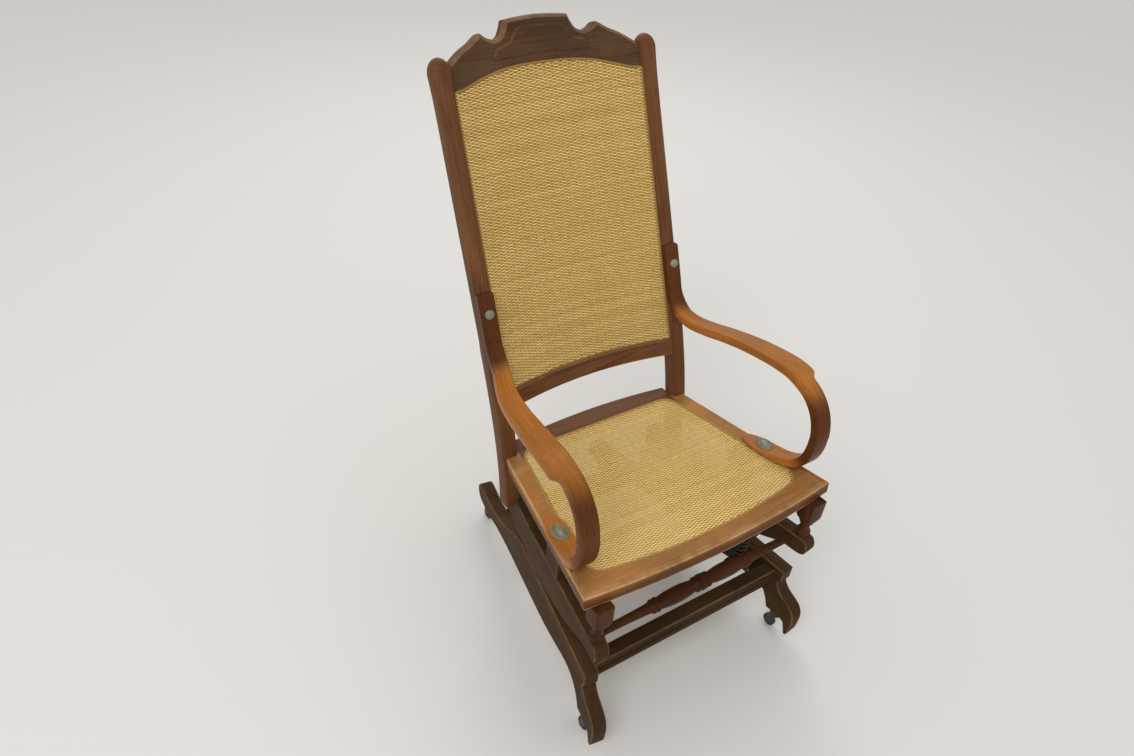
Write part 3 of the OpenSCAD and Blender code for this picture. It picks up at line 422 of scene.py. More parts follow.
class Form:
    """One piece while it is made: points and faces, with the run of its grain, the faces that take the lighter edge
    colour of scuffing and painted highlight, and the points that are painted lit.
    """

    def __init__(self) -> None:
        """Starts with an empty mesh that carries the named layers."""
        self.mesh = bmesh.new()
        self.grain = self.mesh.verts.layers.float_vector.new("grain")
        # Where the piece is painted lit, 0 to 1: painted light on the seat rails' tops, scuffing with painted light
        # along the arms.
        self.wear = self.mesh.verts.layers.float.new("wear")
        self.edge = self.mesh.faces.layers.float.new("edge")

    def ring(self, points: Sequence[Sequence[float]], grain: Sequence[Sequence[float]] | None = None) -> list:
        """Adds points.

        Args:
            points: Their places.
            grain: Their places along and across the grain, where these differ.

        Returns:
            The new points.
        """
        made = []
        for point, run in zip(points, grain or points, strict=True):
            vert = self.mesh.verts.new(tuple(map(float, point)))
            vert[self.grain] = Vector(run) * MM
            made.append(vert)
        return made

    def bridge(self, low: list, high: list, worn: Sequence[float] | float = 0.0) -> None:
        """Joins two rings with four-sided faces, each with its own share of the lighter edge colour, which stands for
        scuffing and painted highlight.
        """
        count = len(low)
        for i in range(count):
            k = (i + 1) % count
            face = self.mesh.faces.new((low[i], low[k], high[k], high[i]))
            face.smooth = True
            face[self.edge] = worn if isinstance(worn, float) else worn[i]

    def loft(self, rings: list[list], worn: Sequence = (), level: bool = True) -> Form:
        """Joins rings one after another and closes both ends.

        Args:
            rings: The rings, from one end to the other.
            worn: For the faces between each two rings, where they take the lighter edge colour, partly scuffing and
                partly painted highlight.
            level: True where the ends are flat, False where they go on in the smooth run of their neighbours.

        Returns:
            This form.
        """
        for i, (low, high) in enumerate(pairwise(rings)):
            self.bridge(low, high, worn[i] if worn else 0.0)
        for end in (rings[0], rings[-1]):
            self.mesh.faces.new(end).smooth = not level
        return self

    def plate(
        self, outline: Outline, profile: Outline, shares: Sequence[float] | None = None, put: Put = as_drawn
    ) -> Form:
        """Adds a board with shaped edges.

        Args:
            outline: Its outline, against the clock.
            profile: Insets and heights of its edge, from low to high.
            shares: How much of the inset each edge of the outline takes.
            put: Where a point of the outline comes at a height.

        Returns:
            This form.
        """
        shares = shares or [1.0] * len(outline)
        rings = [
            self.ring([put(u, v, height) for u, v in drawn_in(outline, [inset * s for s in shares])])
            for inset, height in profile
        ]
        # Rising rounded and slanted faces take the lighter edge colour, partly scuffing and partly painted highlight.
        slants = [float(a[0] != b[0] and b[1] >= a[1]) for a, b in pairwise(profile)]
        return self.loft(rings, [[slant if s > 0 else 0.0 for s in shares] for slant in slants])

    def bar(self, stations: Sequence[Station], corner_points: int = 4) -> Form:
        """Adds a bar of rounded section along its stations, closed at both ends."""
        return self.loft([station.section(self, corner_points) for station in stations], level=False)

    def turned(
        self, profile: Outline, sides: int = 40, squash: float = 1.0, put: Put = as_drawn, closed: bool = False
    ) -> Form:
        """Adds a turning.

        Args:
            profile: Places along its axis and radii, from one end to the other.
            sides: Faces round it.
            squash: Width of its section as a share of its depth.
            put: Where a point across the axis comes at a place along it.
            closed: True where the profile runs back to its start, as round a hole.

        Returns:
            This form.
        """
        rings = []
        for height, radius in profile:
            turns = even(0, 2 * math.pi, sides)[:-1]
            across = [(radius * squash * math.cos(a), radius * math.sin(a)) for a in turns]
            rings.append(self.ring([put(x, y, height) for x, y in across], [(height, x, y) for x, y in across]))
        if not closed:
            return self.loft(rings)
        for low, high in pairwise([*rings, rings[0]]):
            self.bridge(low, high)
        return self

    def lit(self, low: float, high: float) -> Form:
        """Paints light on the piece: from one height to another it turns to its finish's lit colours."""
        for vert in self.mesh.verts:
            vert[self.wear] = min(1.0, max(0.0, (vert.co.z - low) / (high - low)))
        return self

    def cut_across(self, reach: float, step: float) -> Form:
        """Splits every face at even steps in the first direction, so that the piece can bend."""
        for x in np.arange(-reach + step, reach, step):
            parts = [*self.mesh.verts, *self.mesh.edges, *self.mesh.faces]
            bmesh.ops.bisect_plane(self.mesh, geom=parts, dist=1e-6, plane_co=(x, 0, 0), plane_no=(1, 0, 0))
        return self

    def finished(
        self,
        name: str,
        place: Place,
        finish: Finish,
        body: str,
        *nodes: str,
        side: Side | None = None,
        slot: Slot | None = None,
    ) -> None:
        """Puts the piece in its place and makes it an object, at the origin, with its place in its mesh.

        Args:
            name: The piece's name.
            place: The frame that it was drawn in.
            finish: Its finish.
            body: The body that it rides on.
            nodes: The nodes that it stands for.
            side: The side that its name and its nodes end with, if it has one.
            slot: Its material slot, where that isn't the finish's own.
        """
        end = f"_{side.word}" if side else ""
        mesh = self.mesh
        where = place(np.array([v.co for v in mesh.verts], float))
        for vert, co in zip(mesh.verts, where, strict=True):
            vert.co = co
        bmesh.ops.recalc_face_normals(mesh, faces=mesh.faces)
        for edge in mesh.edges:
            edge.smooth = edge.is_manifold and edge.calc_face_angle(0) < SHARP
        data = bpy.data.meshes.new(name + end)
        mesh.to_mesh(data)
        mesh.free()
        data.materials.append(finish.material)
        settled(shown(name + end, data), body, slot or finish.slot, *[node + end for node in nodes])


@dataclass(frozen=True)
class Station:
    """A section of a bar: its middle, its two directions, its half sizes and its corner."""

    middle: tuple[float, float, float]
    across: tuple[float, float, float]
    out: tuple[float, float, float]
    half_w: float
    half_t: float
    corner: float
    along: float
    # Share of the lit colours: painted light, with scuffing on the arms.
    wear: float = 0.0
    floor: Callable[[float], float] | None = None

    def section(self, form: Form, corner_points: int) -> list:
        """Adds the section's ring to a form.

        Args:
            form: The piece that it belongs to.
            corner_points: Points in each rounded corner.

        Returns:
            The ring's points.
        """
        r = min(self.corner, self.half_w, self.half_t)
        points, grain = [], []
        for quarter, (sx, sy) in enumerate(((1, 1), (-1, 1), (-1, -1), (1, -1))):
            for k in range(corner_points):
                a = math.pi / 2 * (quarter + k / (corner_points - 1))
                u = sx * (self.half_w - r) + r * math.cos(a)
                v = sy * (self.half_t - r) + r * math.sin(a)
                point = [m + u * p + v * q for m, p, q in zip(self.middle, self.across, self.out, strict=True)]
                if self.floor:
                    point[2] = max(point[2], self.floor(point[1]))
                points.append(point)
                grain.append((self.along, u, v))
        made = form.ring(points, grain)
        for vert in made:
            vert[form.wear] = self.wear
        return made


def operator(name: str, reflected: bool = False) -> Callable[[Value, object], Value]:
    """An operator of numbers that adds its Math node, with the two terms exchanged where it is reflected."""

    def apply(value: Value, other: object) -> Value:
        """Adds the node."""
        return value.math(name, first=other) if reflected else value.math(name, other)

    return apply


class Value:
    """A number socket that takes part in Python sums, each of which adds its Math node."""

    def __init__(self, graph: Graph, source: NodeSocket | Node) -> None:
        """Wraps a socket of a graph, or a node's first one."""
        self.graph = graph
        self.socket = source.outputs[0] if isinstance(source, Node) else source

    def math(self, operation: str, *others: Value | float, first: Value | float | None = None) -> Value:
        """One Math node.

        Args:
            operation: Its operation.
            others: What follows this value.
            first: What stands before this value, if anything does.

        Returns:
            The result.
        """
        terms = [self, *others] if first is None else [first, self, *others]
        node = self.graph.node("ShaderNodeMath", {"operation": operation}, dict(enumerate(terms)))
        return Value(self.graph, node)

    __add__ = __radd__ = operator("ADD")
    __sub__ = operator("SUBTRACT")
    __rsub__ = operator("SUBTRACT", reflected=True)
    __mul__ = __rmul__ = operator("MULTIPLY")
    __truediv__ = operator("DIVIDE")

    def between(self, low: float, high: float) -> Value:
        """How far the value is from low to high, from 0 to 1, with soft ends."""
        sockets = {"Value": self, "From Min": low, "From Max": high}
        return Value(self.graph, self.graph.node("ShaderNodeMapRange", {"interpolation_type": "SMOOTHSTEP"}, sockets))


class Graph:
    """A node tree that is filled from Python."""

    def __init__(self, tree: NodeTree) -> None:
        """Wraps a tree."""
        self.tree = tree

    def fill(self, socket: NodeSocket, value: object) -> None:
        """Links an input to a socket, a number socket or a node's first output, or else sets it."""
        source = value.socket if isinstance(value, Value) else value
        if isinstance(source, Node):
            source = source.outputs[0]
        if isinstance(source, NodeSocket):
            self.tree.links.new(source, socket)
        else:
            socket.default_value = source

    def node(self, kind: str, settings: dict | None = None, sockets: dict | None = None) -> Node:
        """Adds a node.

        Args:
            kind: Its type.
            settings: Its own settings, which are made first.
            sockets: Values or links of its inputs, by name or number.

        Returns:
            The node.
        """
        node = self.tree.nodes.new(kind)
        for name, value in (settings or {}).items():
            setattr(node, name, value)
        for name, value in (sockets or {}).items():
            self.fill(node.inputs[name], value)
        return node


class Paint(Graph):
    """The nodes of one material."""

    def __init__(self, name: str) -> None:
        """Makes the material with its surface shader."""
        self.material = bpy.data.materials.new(name)
        self.material.use_nodes = True
        super().__init__(self.material.node_tree)
        self.tree.nodes.clear()
        self.shader = self.node("ShaderNodeBsdfPrincipled")
        self.node("ShaderNodeOutputMaterial", None, {"Surface": self.shader})
        self.place = self.node("ShaderNodeTexCoord").outputs["Object"]

    def attribute(self, name: str) -> Value:
        """The number that a piece's own attribute holds."""
        return Value(self, self.node("ShaderNodeAttribute", {"attribute_name": name}).outputs["Fac"])

    def grain(self) -> NodeSocket:
        """The places along and across a piece's grain."""
        return self.node("ShaderNodeAttribute", {"attribute_name": "grain"}).outputs["Vector"]

    def stretched(self, vector: NodeSocket, scale: Sequence[float]) -> Node:
        """A vector with its three parts scaled."""
        return self.node("ShaderNodeMapping", None, {"Vector": vector, "Scale": scale})

    def noise(self, vector: object, scale: float, detail: float = 3.0, twist: float = 0.0) -> Value:
        """Soft noise from 0 to 1.

        Args:
            vector: Where it is read.
            scale: Its fineness.
            detail: Its number of finer layers.
            twist: Its distortion.

        Returns:
            The noise.
        """
        sockets = {"Vector": vector, "Scale": scale, "Detail": detail, "Distortion": twist}
        return Value(self, self.node("ShaderNodeTexNoise", None, sockets))

    def mix(self, share: Value | float, a: object, b: object, blend: str = "MIX") -> NodeSocket:
        """Two colours mixed.

        Args:
            share: The share of the second.
            a: The first colour or socket.
            b: The second colour or socket.
            blend: How they are mixed.

        Returns:
            The mixed colour.
        """
        settings = {"data_type": "RGBA", "blend_type": blend, "clamp_factor": True}
        node = self.node("ShaderNodeMix", settings, {0: share})
        for number, colour in ((6, a), (7, b)):
            self.fill(node.inputs[number], (*colour, 1.0) if isinstance(colour, tuple) else colour)
        return node.outputs[2]

    def bump(self, height: Value, depth: float, strength: float = 1.0) -> None:
        """Feeds the shader's normal with a relief.

        Args:
            height: The relief, from 0 to 1.
            depth: Its depth in metres.
            strength: How much of it shows.
        """
        sockets = {"Height": height, "Distance": depth, "Strength": strength}
        self.feed(Normal=self.node("ShaderNodeBump", None, sockets))

    def feed(self, **sockets: object) -> None:
        """Sets or links the shader's inputs, with underscores for spaces."""
        for name, value in sockets.items():
            self.fill(self.shader.inputs[name.replace("_", " ")], value)


@dataclass(frozen=True)
class Finish:
    """What all finishes share: a slot, a name and one material, built at its first use."""

    slot: Slot
    name: str

    @cached_property
    def material(self) -> Material:
        """The material."""
        paint = Paint(self.name)
        self.cover(paint)
        return paint.material


@dataclass(frozen=True)
class VarnishedWood(Finish):
    """Old hardwood under varnish, with long grain, fine pores, dull patches and lighter edges, partly scuffed varnish
    and partly painted highlight lines.

    Where a piece is marked lit, its lit pair of colours takes over from its own: painted light on the seat rails' tops,
    and scuffing with painted light along the arms.
    """

    dark: Rgb
    light: Rgb
    rubbed: Rgb
    edge_share: float = 0.5
    sunny: tuple[Rgb, Rgb] | None = None
    roughness: float = 0.46
    coat: float = 0.0
    gloss: float = 0.09

    def cover(self, paint: Paint) -> None:
        """Fills in its material."""
        run = paint.grain()
        figure = paint.noise(paint.stretched(run, (2.2, 26, 26)), 1.0, 4.0, 0.9)
        lines = paint.noise(paint.stretched(run, (9, 420, 420)), 1.0, 2.0, 0.3)
        pores = paint.noise(paint.stretched(run, (60, 1500, 1500)), 1.0, 1.0)
        patches = paint.noise(paint.place, 7.0, 4.0, 0.6)
        spots = paint.noise(paint.place, 55.0, 3.0)
        tone = figure.between(0.25, 0.75) * 0.42 + lines.between(0.25, 0.75) * 0.38 + 0.1
        colour = paint.mix(tone, self.dark, self.light)
        # Painted light: the lit colour pair takes over where the piece is marked lit.
        if self.sunny:
            sun = (paint.attribute("wear") + patches * 0.5 - 0.25).between(0.15, 0.85)
            colour = paint.mix(sun, colour, paint.mix(tone, *self.sunny))
        shade = patches.between(0.25, 0.75) * 0.34 + 0.8
        colour = paint.mix(1.0, colour, self.grey(paint, shade), "MULTIPLY")
        pits = pores.between(0.62, 0.72)
        colour = paint.mix(pits * 0.45, colour, tuple(c * 0.4 for c in self.dark))
        # The lighter edge colour is partly scuffed varnish and partly painted highlight lines along edges.
        edges = paint.attribute("edge") * (spots * 0.7 + patches * 0.6).between(0.35, 0.85) * self.edge_share
        colour = paint.mix(edges, colour, self.rubbed)
        dull = patches.between(0.35, 0.8) * 0.16 + spots * 0.1 + self.roughness - 0.09
        paint.feed(Base_Color=colour, Roughness=dull + edges * 0.08, Specular_IOR_Level=self.gloss)
        paint.feed(Coat_Weight=self.coat, Coat_Roughness=0.16)
        paint.bump(lines * 0.5 - pits * 0.6 + spots * 0.25, 0.00025, 0.55)

    @staticmethod
    def grey(paint: Paint, value: Value) -> Node:
        """A number as a grey colour."""
        return paint.node("ShaderNodeCombineColor", None, {0: value, 1: value, 2: value})


@dataclass(frozen=True)
class CaneFibre(Finish):
    """Woven cane, golden, with each strand and some patches of their own tone, and painted shade in the dips between
    the strands.
    """

    pale: Rgb = (0.92, 0.66, 0.25)
    deep: Rgb = (0.7, 0.46, 0.14)
    tan: Rgb = (0.62, 0.36, 0.1)
    green: Rgb = (0.56, 0.44, 0.13)
    dirt: Rgb = (0.17, 0.09, 0.025)

    def cover(self, paint: Paint) -> None:
        """Fills in its material."""
        strand, crown = paint.attribute("strand"), paint.attribute("crown")
        fleck = paint.noise(paint.stretched(paint.place, (90, 320, 320)), 1.0, 3.0)
        cloud = paint.noise(paint.place, 11.0, 3.0, 0.5)
        warm, cool = paint.noise(paint.place, 38.0, 2.0), paint.noise(paint.place, 27.0, 2.0, 1.0)
        tone = (strand * 0.4 + fleck * 0.75 + cloud * 0.3).between(0.35, 1.1)
        colour = paint.mix(tone, self.deep, self.pale)
        colour = paint.mix(warm.between(0.55, 0.75) * 0.2, colour, self.tan)
        colour = paint.mix(cool.between(0.58, 0.75) * 0.15, colour, self.green)
        # Painted shade: the lower a point lies in the weave and the less it faces up, the darker it is painted.
        deep = 1 - crown.between(-0.05, 0.95)
        colour = paint.mix(deep * 0.8, colour, self.dirt)
        paint.feed(Base_Color=colour, Roughness=fleck * 0.2 + 0.5, Specular_IOR_Level=0.15)
        paint.bump(fleck, 0.0003, 0.5)


@dataclass(frozen=True)
class AgedMetal(Finish):
    """Dull old metal with stained patches and brighter rubbed edges."""

    base: Rgb
    stain: Rgb
    bright: Rgb
    metallic: float = 0.75
    roughness: float = 0.48

    def cover(self, paint: Paint) -> None:
        """Fills in its material."""
        clouds = paint.noise(paint.place, 60.0, 5.0, 0.6)
        grit = paint.noise(paint.place, 700.0, 3.0)
        rust = (clouds + grit * 0.25).between(0.55, 0.8)
        colour = paint.mix(rust * 0.8, self.base, self.stain)
        edges = paint.attribute("edge") * (clouds * 0.8 + grit * 0.4).between(0.3, 0.8)
        colour = paint.mix(edges * 0.7, colour, self.bright)
        dull = rust * 0.28 + grit * 0.14 + self.roughness - 0.07
        paint.feed(Base_Color=colour, Metallic=self.metallic - rust * 0.45, Roughness=dull)
        paint.bump(grit * 0.6 + clouds * 0.6, 0.0002, 0.6)


@dataclass(frozen=True)
class Finishes:
    """Every finish of the chair, with its own colours."""

    dark: Finish = VarnishedWood(
        Slot.DARK_WOOD, "dark_base_wood", (0.03, 0.015, 0.007), (0.082, 0.045, 0.021), (0.25, 0.14, 0.066), gloss=0.025
    )
    crest: Finish = VarnishedWood(
        Slot.DARK_WOOD, "crest_wood", (0.055, 0.027, 0.013), (0.13, 0.068, 0.033), (0.3, 0.16, 0.08), 0.6
    )
    panel: Finish = VarnishedWood(
        Slot.DARK_WOOD, "panel_wood", (0.05, 0.025, 0.012), (0.12, 0.062, 0.03), (0.2, 0.105, 0.05), 0.35
    )
    red: Finish = VarnishedWood(
        Slot.RED_WOOD, "red_post_wood", (0.075, 0.027, 0.01), (0.205, 0.088, 0.033), (0.36, 0.19, 0.085), 0.4
    )
    turned: Finish = VarnishedWood(
        Slot.RED_WOOD, "turned_wood", (0.03, 0.011, 0.004), (0.1, 0.038, 0.014), (0.26, 0.13, 0.06), 0.3,
        roughness=0.34, gloss=0.05,
    )
    # The arm and the seat rails carry a second pair of colours for their lit parts: painted light, with scuffing on the
    # arms.
    arm: Finish = VarnishedWood(
        Slot.RED_WOOD, "bent_arm_wood", (0.055, 0.015, 0.004), (0.145, 0.045, 0.01), (0.4, 0.22, 0.1), 0.3,
        ((0.26, 0.085, 0.016), (0.5, 0.19, 0.036)), 0.36, 0.02, 0.1,
    )
    honey: Finish = VarnishedWood(
        Slot.HONEY_WOOD, "seat_rail_wood", (0.065, 0.02, 0.004), (0.16, 0.055, 0.012), (0.68, 0.43, 0.21), 0.55,
        ((0.25, 0.105, 0.028), (0.46, 0.215, 0.064)), 0.42, 0.02, 0.09,
    )
    cane: Finish = CaneFibre(Slot.WOVEN_CANE, "woven_cane")
    # The seat's cane is a lighter copy of the back's: painted as in more light, with lighter painted shade in its dips.
    seat_cane: Finish = CaneFibre(
        Slot.WOVEN_CANE, "sunny_cane", (1.0, 0.74, 0.29), (0.84, 0.57, 0.18), dirt=(0.26, 0.14, 0.04)
    )
    iron: Finish = AgedMetal(Slot.IRON, "aged_iron", (0.045, 0.042, 0.04), (0.09, 0.045, 0.022), (0.2, 0.19, 0.18))
    bronze: Finish = AgedMetal(
        Slot.BRONZE, "patinated_bronze", (0.27, 0.27, 0.19), (0.15, 0.18, 0.12), (0.62, 0.58, 0.42), 0.4
    )
    black: Finish = AgedMetal(
        Slot.CASTER_BLACK, "caster_paint", (0.018, 0.018, 0.018), (0.05, 0.042, 0.035), (0.1, 0.1, 0.1), 0.15, 0.4
    )


class Tree(Graph):
    """A Geometry Nodes tree with named inputs, which is turned to a plain mesh."""

    KINDS = (
        (float, "Float"),
        (int, "Int"),
        (Material, "Material"),
        (Object, "Object"),
        (type(None), "Geometry"),
    )

    def __init__(self, name: str, inputs: dict[str, object]) -> None:
        """Makes the tree with the value of each named input, which is None for geometry that it reads."""
        super().__init__(bpy.data.node_groups.new(name, "GeometryNodeTree"))
        self.values = {}
        for label, value in inputs.items():
            kind = next(word for known, word in self.KINDS if isinstance(value, known))
            item = self.tree.interface.new_socket(label, in_out="INPUT", socket_type=f"NodeSocket{kind}")
            self.values[item.identifier] = value
        self.tree.interface.new_socket("Geometry", in_out="OUTPUT", socket_type="NodeSocketGeometry")
        self.given = self.node("NodeGroupInput").outputs

    def value(self, label: str) -> Value:
        """A named input as a number."""
        return Value(self, self.given[label])

    def vector(self, x: object = 0.0, y: object = 0.0, z: object = 0.0) -> Node:
        """Three numbers as a vector."""
        return self.node("ShaderNodeCombineXYZ", None, {0: x, 1: y, 2: z})

    def parts(self, kind: str = "GeometryNodeInputPosition") -> list[Value]:
        """The three numbers of each point's place, or of what another node without inputs gives."""
        split = self.node("ShaderNodeSeparateXYZ", None, {0: self.node(kind)})
        return [Value(self, socket) for socket in split.outputs]

    def tube(self, line: object, radius: Value, sides: int) -> Node:
        """A closed tube round a line."""
        ring = self.node("GeometryNodeCurvePrimitiveCircle", None, {"Resolution": sides, "Radius": radius})
        sockets = {"Curve": line, "Profile Curve": ring, "Fill Caps": True}
        return self.node("GeometryNodeCurveToMesh", None, sockets)

    def counted(self, line: object, count: object) -> Node:
        """A line cut into a number of points."""
        return self.node("GeometryNodeResampleCurve", {"mode": "COUNT"}, {"Curve": line, "Count": count})

    def line(self, start: Node, end: Node, count: object) -> Node:
        """A straight curve with a number of points."""
        return self.counted(self.node("GeometryNodeCurvePrimitiveLine", None, {"Start": start, "End": end}), count)

    def moved(self, geometry: object, **sockets: object) -> Node:
        """A geometry with its points at a new position or at an offset."""
        return self.node("GeometryNodeSetPosition", None, {"Geometry": geometry, **sockets})

    def copied(self, points: object, instance: object, **sockets: object) -> Node:
        """Copies of a geometry on points, turned where a rotation is given."""
        return self.node("GeometryNodeInstanceOnPoints", None, {"Points": points, "Instance": instance, **sockets})

    def spaced(self, count: object, start: Node, step: Node) -> Node:
        """Points in a row, from a start on and a step apart."""
        return self.node("GeometryNodeMeshLine", None, {"Count": count, "Start Location": start, "Offset": step})

    def stored(self, geometry: object, name: str, number: object, domain: str = "POINT") -> Node:
        """A geometry with a number stored under a name."""
        sockets = {"Geometry": geometry, "Name": name, "Value": number}
        return self.node("GeometryNodeStoreNamedAttribute", {"data_type": "FLOAT", "domain": domain}, sockets)

    def mesh(self, end: Node, start: Mesh | None = None) -> Mesh:
        """Runs the tree.

        Args:
            end: The node that it ends with, before it is realized and takes its material.
            start: The mesh that it starts from, if it reads one.

        Returns:
            The plain mesh.
        """
        real = self.node("GeometryNodeRealizeInstances", None, {0: end})
        dressed = self.node("GeometryNodeSetMaterial", None, {"Geometry": real, "Material": self.given["Material"]})
        self.node("NodeGroupOutput", None, {0: dressed})
        holder = shown(self.tree.name, start or bpy.data.meshes.new(self.tree.name))
        modifier = holder.modifiers.new(self.tree.name, "NODES")
        modifier.node_group = self.tree
        for identifier, value in self.values.items():
            if value is not None:
                modifier[identifier] = value
        depsgraph = bpy.context.evaluated_depsgraph_get()
        made = bpy.data.meshes.new_from_object(
            holder.evaluated_get(depsgraph), preserve_all_data_layers=True, depsgraph=depsgraph
        )
        holder.modifiers.remove(modifier)
        bpy.data.objects.remove(holder)
        return made


def object_from(mesh: Mesh, name: str, place: Place, mirrored: bool = False) -> Object:
    """Puts a mesh in its place and makes it an object.

    Args:
        mesh: The mesh, in millimetres.
        name: The piece's name.
        place: The frame that it was drawn in.
        mirrored: True where that frame turns a shape inside out.

    Returns:
        The object.
    """
    flat = np.zeros(len(mesh.vertices) * 3, np.float32)
    mesh.vertices.foreach_get("co", flat)
    mesh.vertices.foreach_set("co", place(flat.reshape(-1, 3).astype(float)).astype(np.float32).ravel())
    if mirrored:
        mesh.flip_normals()
    mesh.shade_smooth()
    mesh.name = name
    mesh.update()
    return shown(name, mesh)


def settled(piece: Object, body: str, slot: Slot, *nodes: str) -> Object:
    """Gives a piece its body and the nodes that it stands for, which it hides, and reports it."""
    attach(piece, body)
    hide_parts(*nodes)
    LOG.info("%s rides on %s, %d faces", piece.name, body, len(piece.data.polygons))
    return piece


@dataclass
class Assembly:
    """A group of pieces, with the plan and the finishes that it shares with the other groups."""

    plan: Plan
    finishes: Finishes


@dataclass
class BaseFrame(Assembly):
    """The fixed base: two scrolled side boards, a beaded front rail and a plain back rail."""

    edge_r: float = 3.0
    rail_h: float = 50
    rail_t: float = 24
    rail_y: float = 72
    rail_z: float = 128
    bead_r: float = 3.5
    back_rail_h: float = 34
    back_rail_z: float = 78
    back_rail_in: float = 148
    block_y: float = 51
    toe_shares: tuple = (
        (0.078, 0.845), (0.087, 0.802), (0.081, 0.727), (0.066, 0.668), (0.043, 0.62),
        (0.021, 0.572), (0.006, 0.503), (0, 0.406), (0.001, 0.29), (0.004, 0.19), (0.01, 0.14),
    )
    pad_shares: tuple = ((0.018, 0.155), (0.024, 0.23), (0.031, 0.3), (0.042, 0.321), (0.101, 0.321))
    under_shares: tuple = (
        (0.111, 0.417), (0.128, 0.524), (0.155, 0.599), (0.198, 0.626), (0.274, 0.567), (0.366, 0.497),
        (0.518, 0.46), (0.655, 0.439), (0.762, 0.396), (0.841, 0.332), (0.896, 0.257),
    )
    heel_shares: tuple = (
        (0.97, 0.257), (0.991, 0.299), (1, 0.396), (0.991, 0.481), (0.97, 0.529), (0.93, 0.535),
        (0.884, 0.529), (0.831, 0.556), (0.77, 0.626), (0.709, 0.733), (0.648, 0.872), (0.595, 0.973),
        (0.561, 1),
    )

    def board_outline(self) -> Outline:
        """Outline of a side board, along and up."""
        plan = self.plan
        crown = plan.crown_h / math.tan(math.radians(plan.furthest_rock))
        size = (plan.base_l, plan.base_h)
        top = [
            (plan.contact_a + crown, plan.base_h),
            (plan.contact_a, plan.base_h + plan.crown_h),
            (plan.contact_a - crown, plan.base_h),
            (self.block_y, plan.base_h),
        ]
        return [
            *smooth(scaled(self.toe_shares, *size), 4),
            *scaled(self.pad_shares, *size),
            *smooth(scaled(self.under_shares, *size), 3),
            *smooth(scaled(self.heel_shares, *size), 3),
            *top,
        ]

    def side_board(self, side: Side) -> None:
        """Makes one scrolled side board."""
        half = self.plan.base_t / 2
        form = Form().plate(self.board_outline(), rounded(-half, half, self.edge_r, self.edge_r))
        form.finished("scrolled_side", self.plan.on_board(side), self.finishes.dark, "base", "base_side", side=side)

    def rail(self, name: str, node: str, outline: Outline) -> None:
        """Makes a rail that runs from board to board.

        Args:
            name: The piece's name.
            node: The node that it stands for.
            outline: Its section, behind the toes and up, against the clock.
        """
        plan = self.plan
        form = Form()
        reach = [plan.inner_face(y, plan.base_t) for y, _ in outline]
        rings = [form.ring([(s * x, *p) for x, p in zip(reach, outline, strict=True)]) for s in even(-1, 1, 8)]
        # Painted highlight: the upper bead's front faces take the lighter edge colour.
        bright = [float(y < self.rail_y - 1 and z > self.crest_z) for y, z in outline]
        form.loft(rings, [bright] * (len(rings) - 1))
        form.finished(name, plan.on_floor, self.finishes.dark, "base", node)

    @property
    def crest_z(self) -> float:
        """Height over which the front rail's upper bead takes the lighter edge colour, a painted highlight line."""
        return self.rail_z + self.rail_h - 1.2 * self.bead_r

    def bead(self, z: float) -> Outline:
        """A half round bead on the front rail's face, from low to high."""
        r = self.bead_r
        return [(self.rail_y - r * math.sin(a), z - r * math.cos(a)) for a in even(0, math.pi, 8)]

    def front_rail_outline(self) -> Outline:
        """Section of the front rail, with two beads between quirks."""
        y, z, r = self.rail_y, self.rail_z, self.bead_r
        top = z + self.rail_h
        face = [(y, z + 1.5), *self.bead(z + self.rail_h / 3), (y, z + self.rail_h / 3 + r + 1), *self.bead(top - r)]
        back = y + self.rail_t
        return [*face[::-1], (y + 1.5, z), (back - 2, z), (back, z + 2), (back, top - 2), (back - 2, top), (y + 2, top)]

    def back_rail_outline(self) -> Outline:
        """Section of the back rail, with eased edges."""
        y, z = self.plan.base_l - self.back_rail_in, self.back_rail_z
        corners = [(y, z), (y + self.rail_t, z), (y + self.rail_t, z + self.back_rail_h), (y, z + self.back_rail_h)]
        eased = []
        for i, (cy, cz) in enumerate(corners):
            for other in (corners[i - 1], corners[(i + 1) % 4]):
                gap = max(abs(other[0] - cy), abs(other[1] - cz))
                eased.append((lerp(cy, other[0], 2 / gap), lerp(cz, other[1], 2 / gap)))
        return eased

    def build(self) -> None:
        """Makes the base's boards and rails."""
        for side in Side:
            self.side_board(side)
        self.rail("beaded_front_rail", "base_front_rail", self.front_rail_outline())
        self.rail("plain_back_rail", "base_back_rail", self.back_rail_outline())


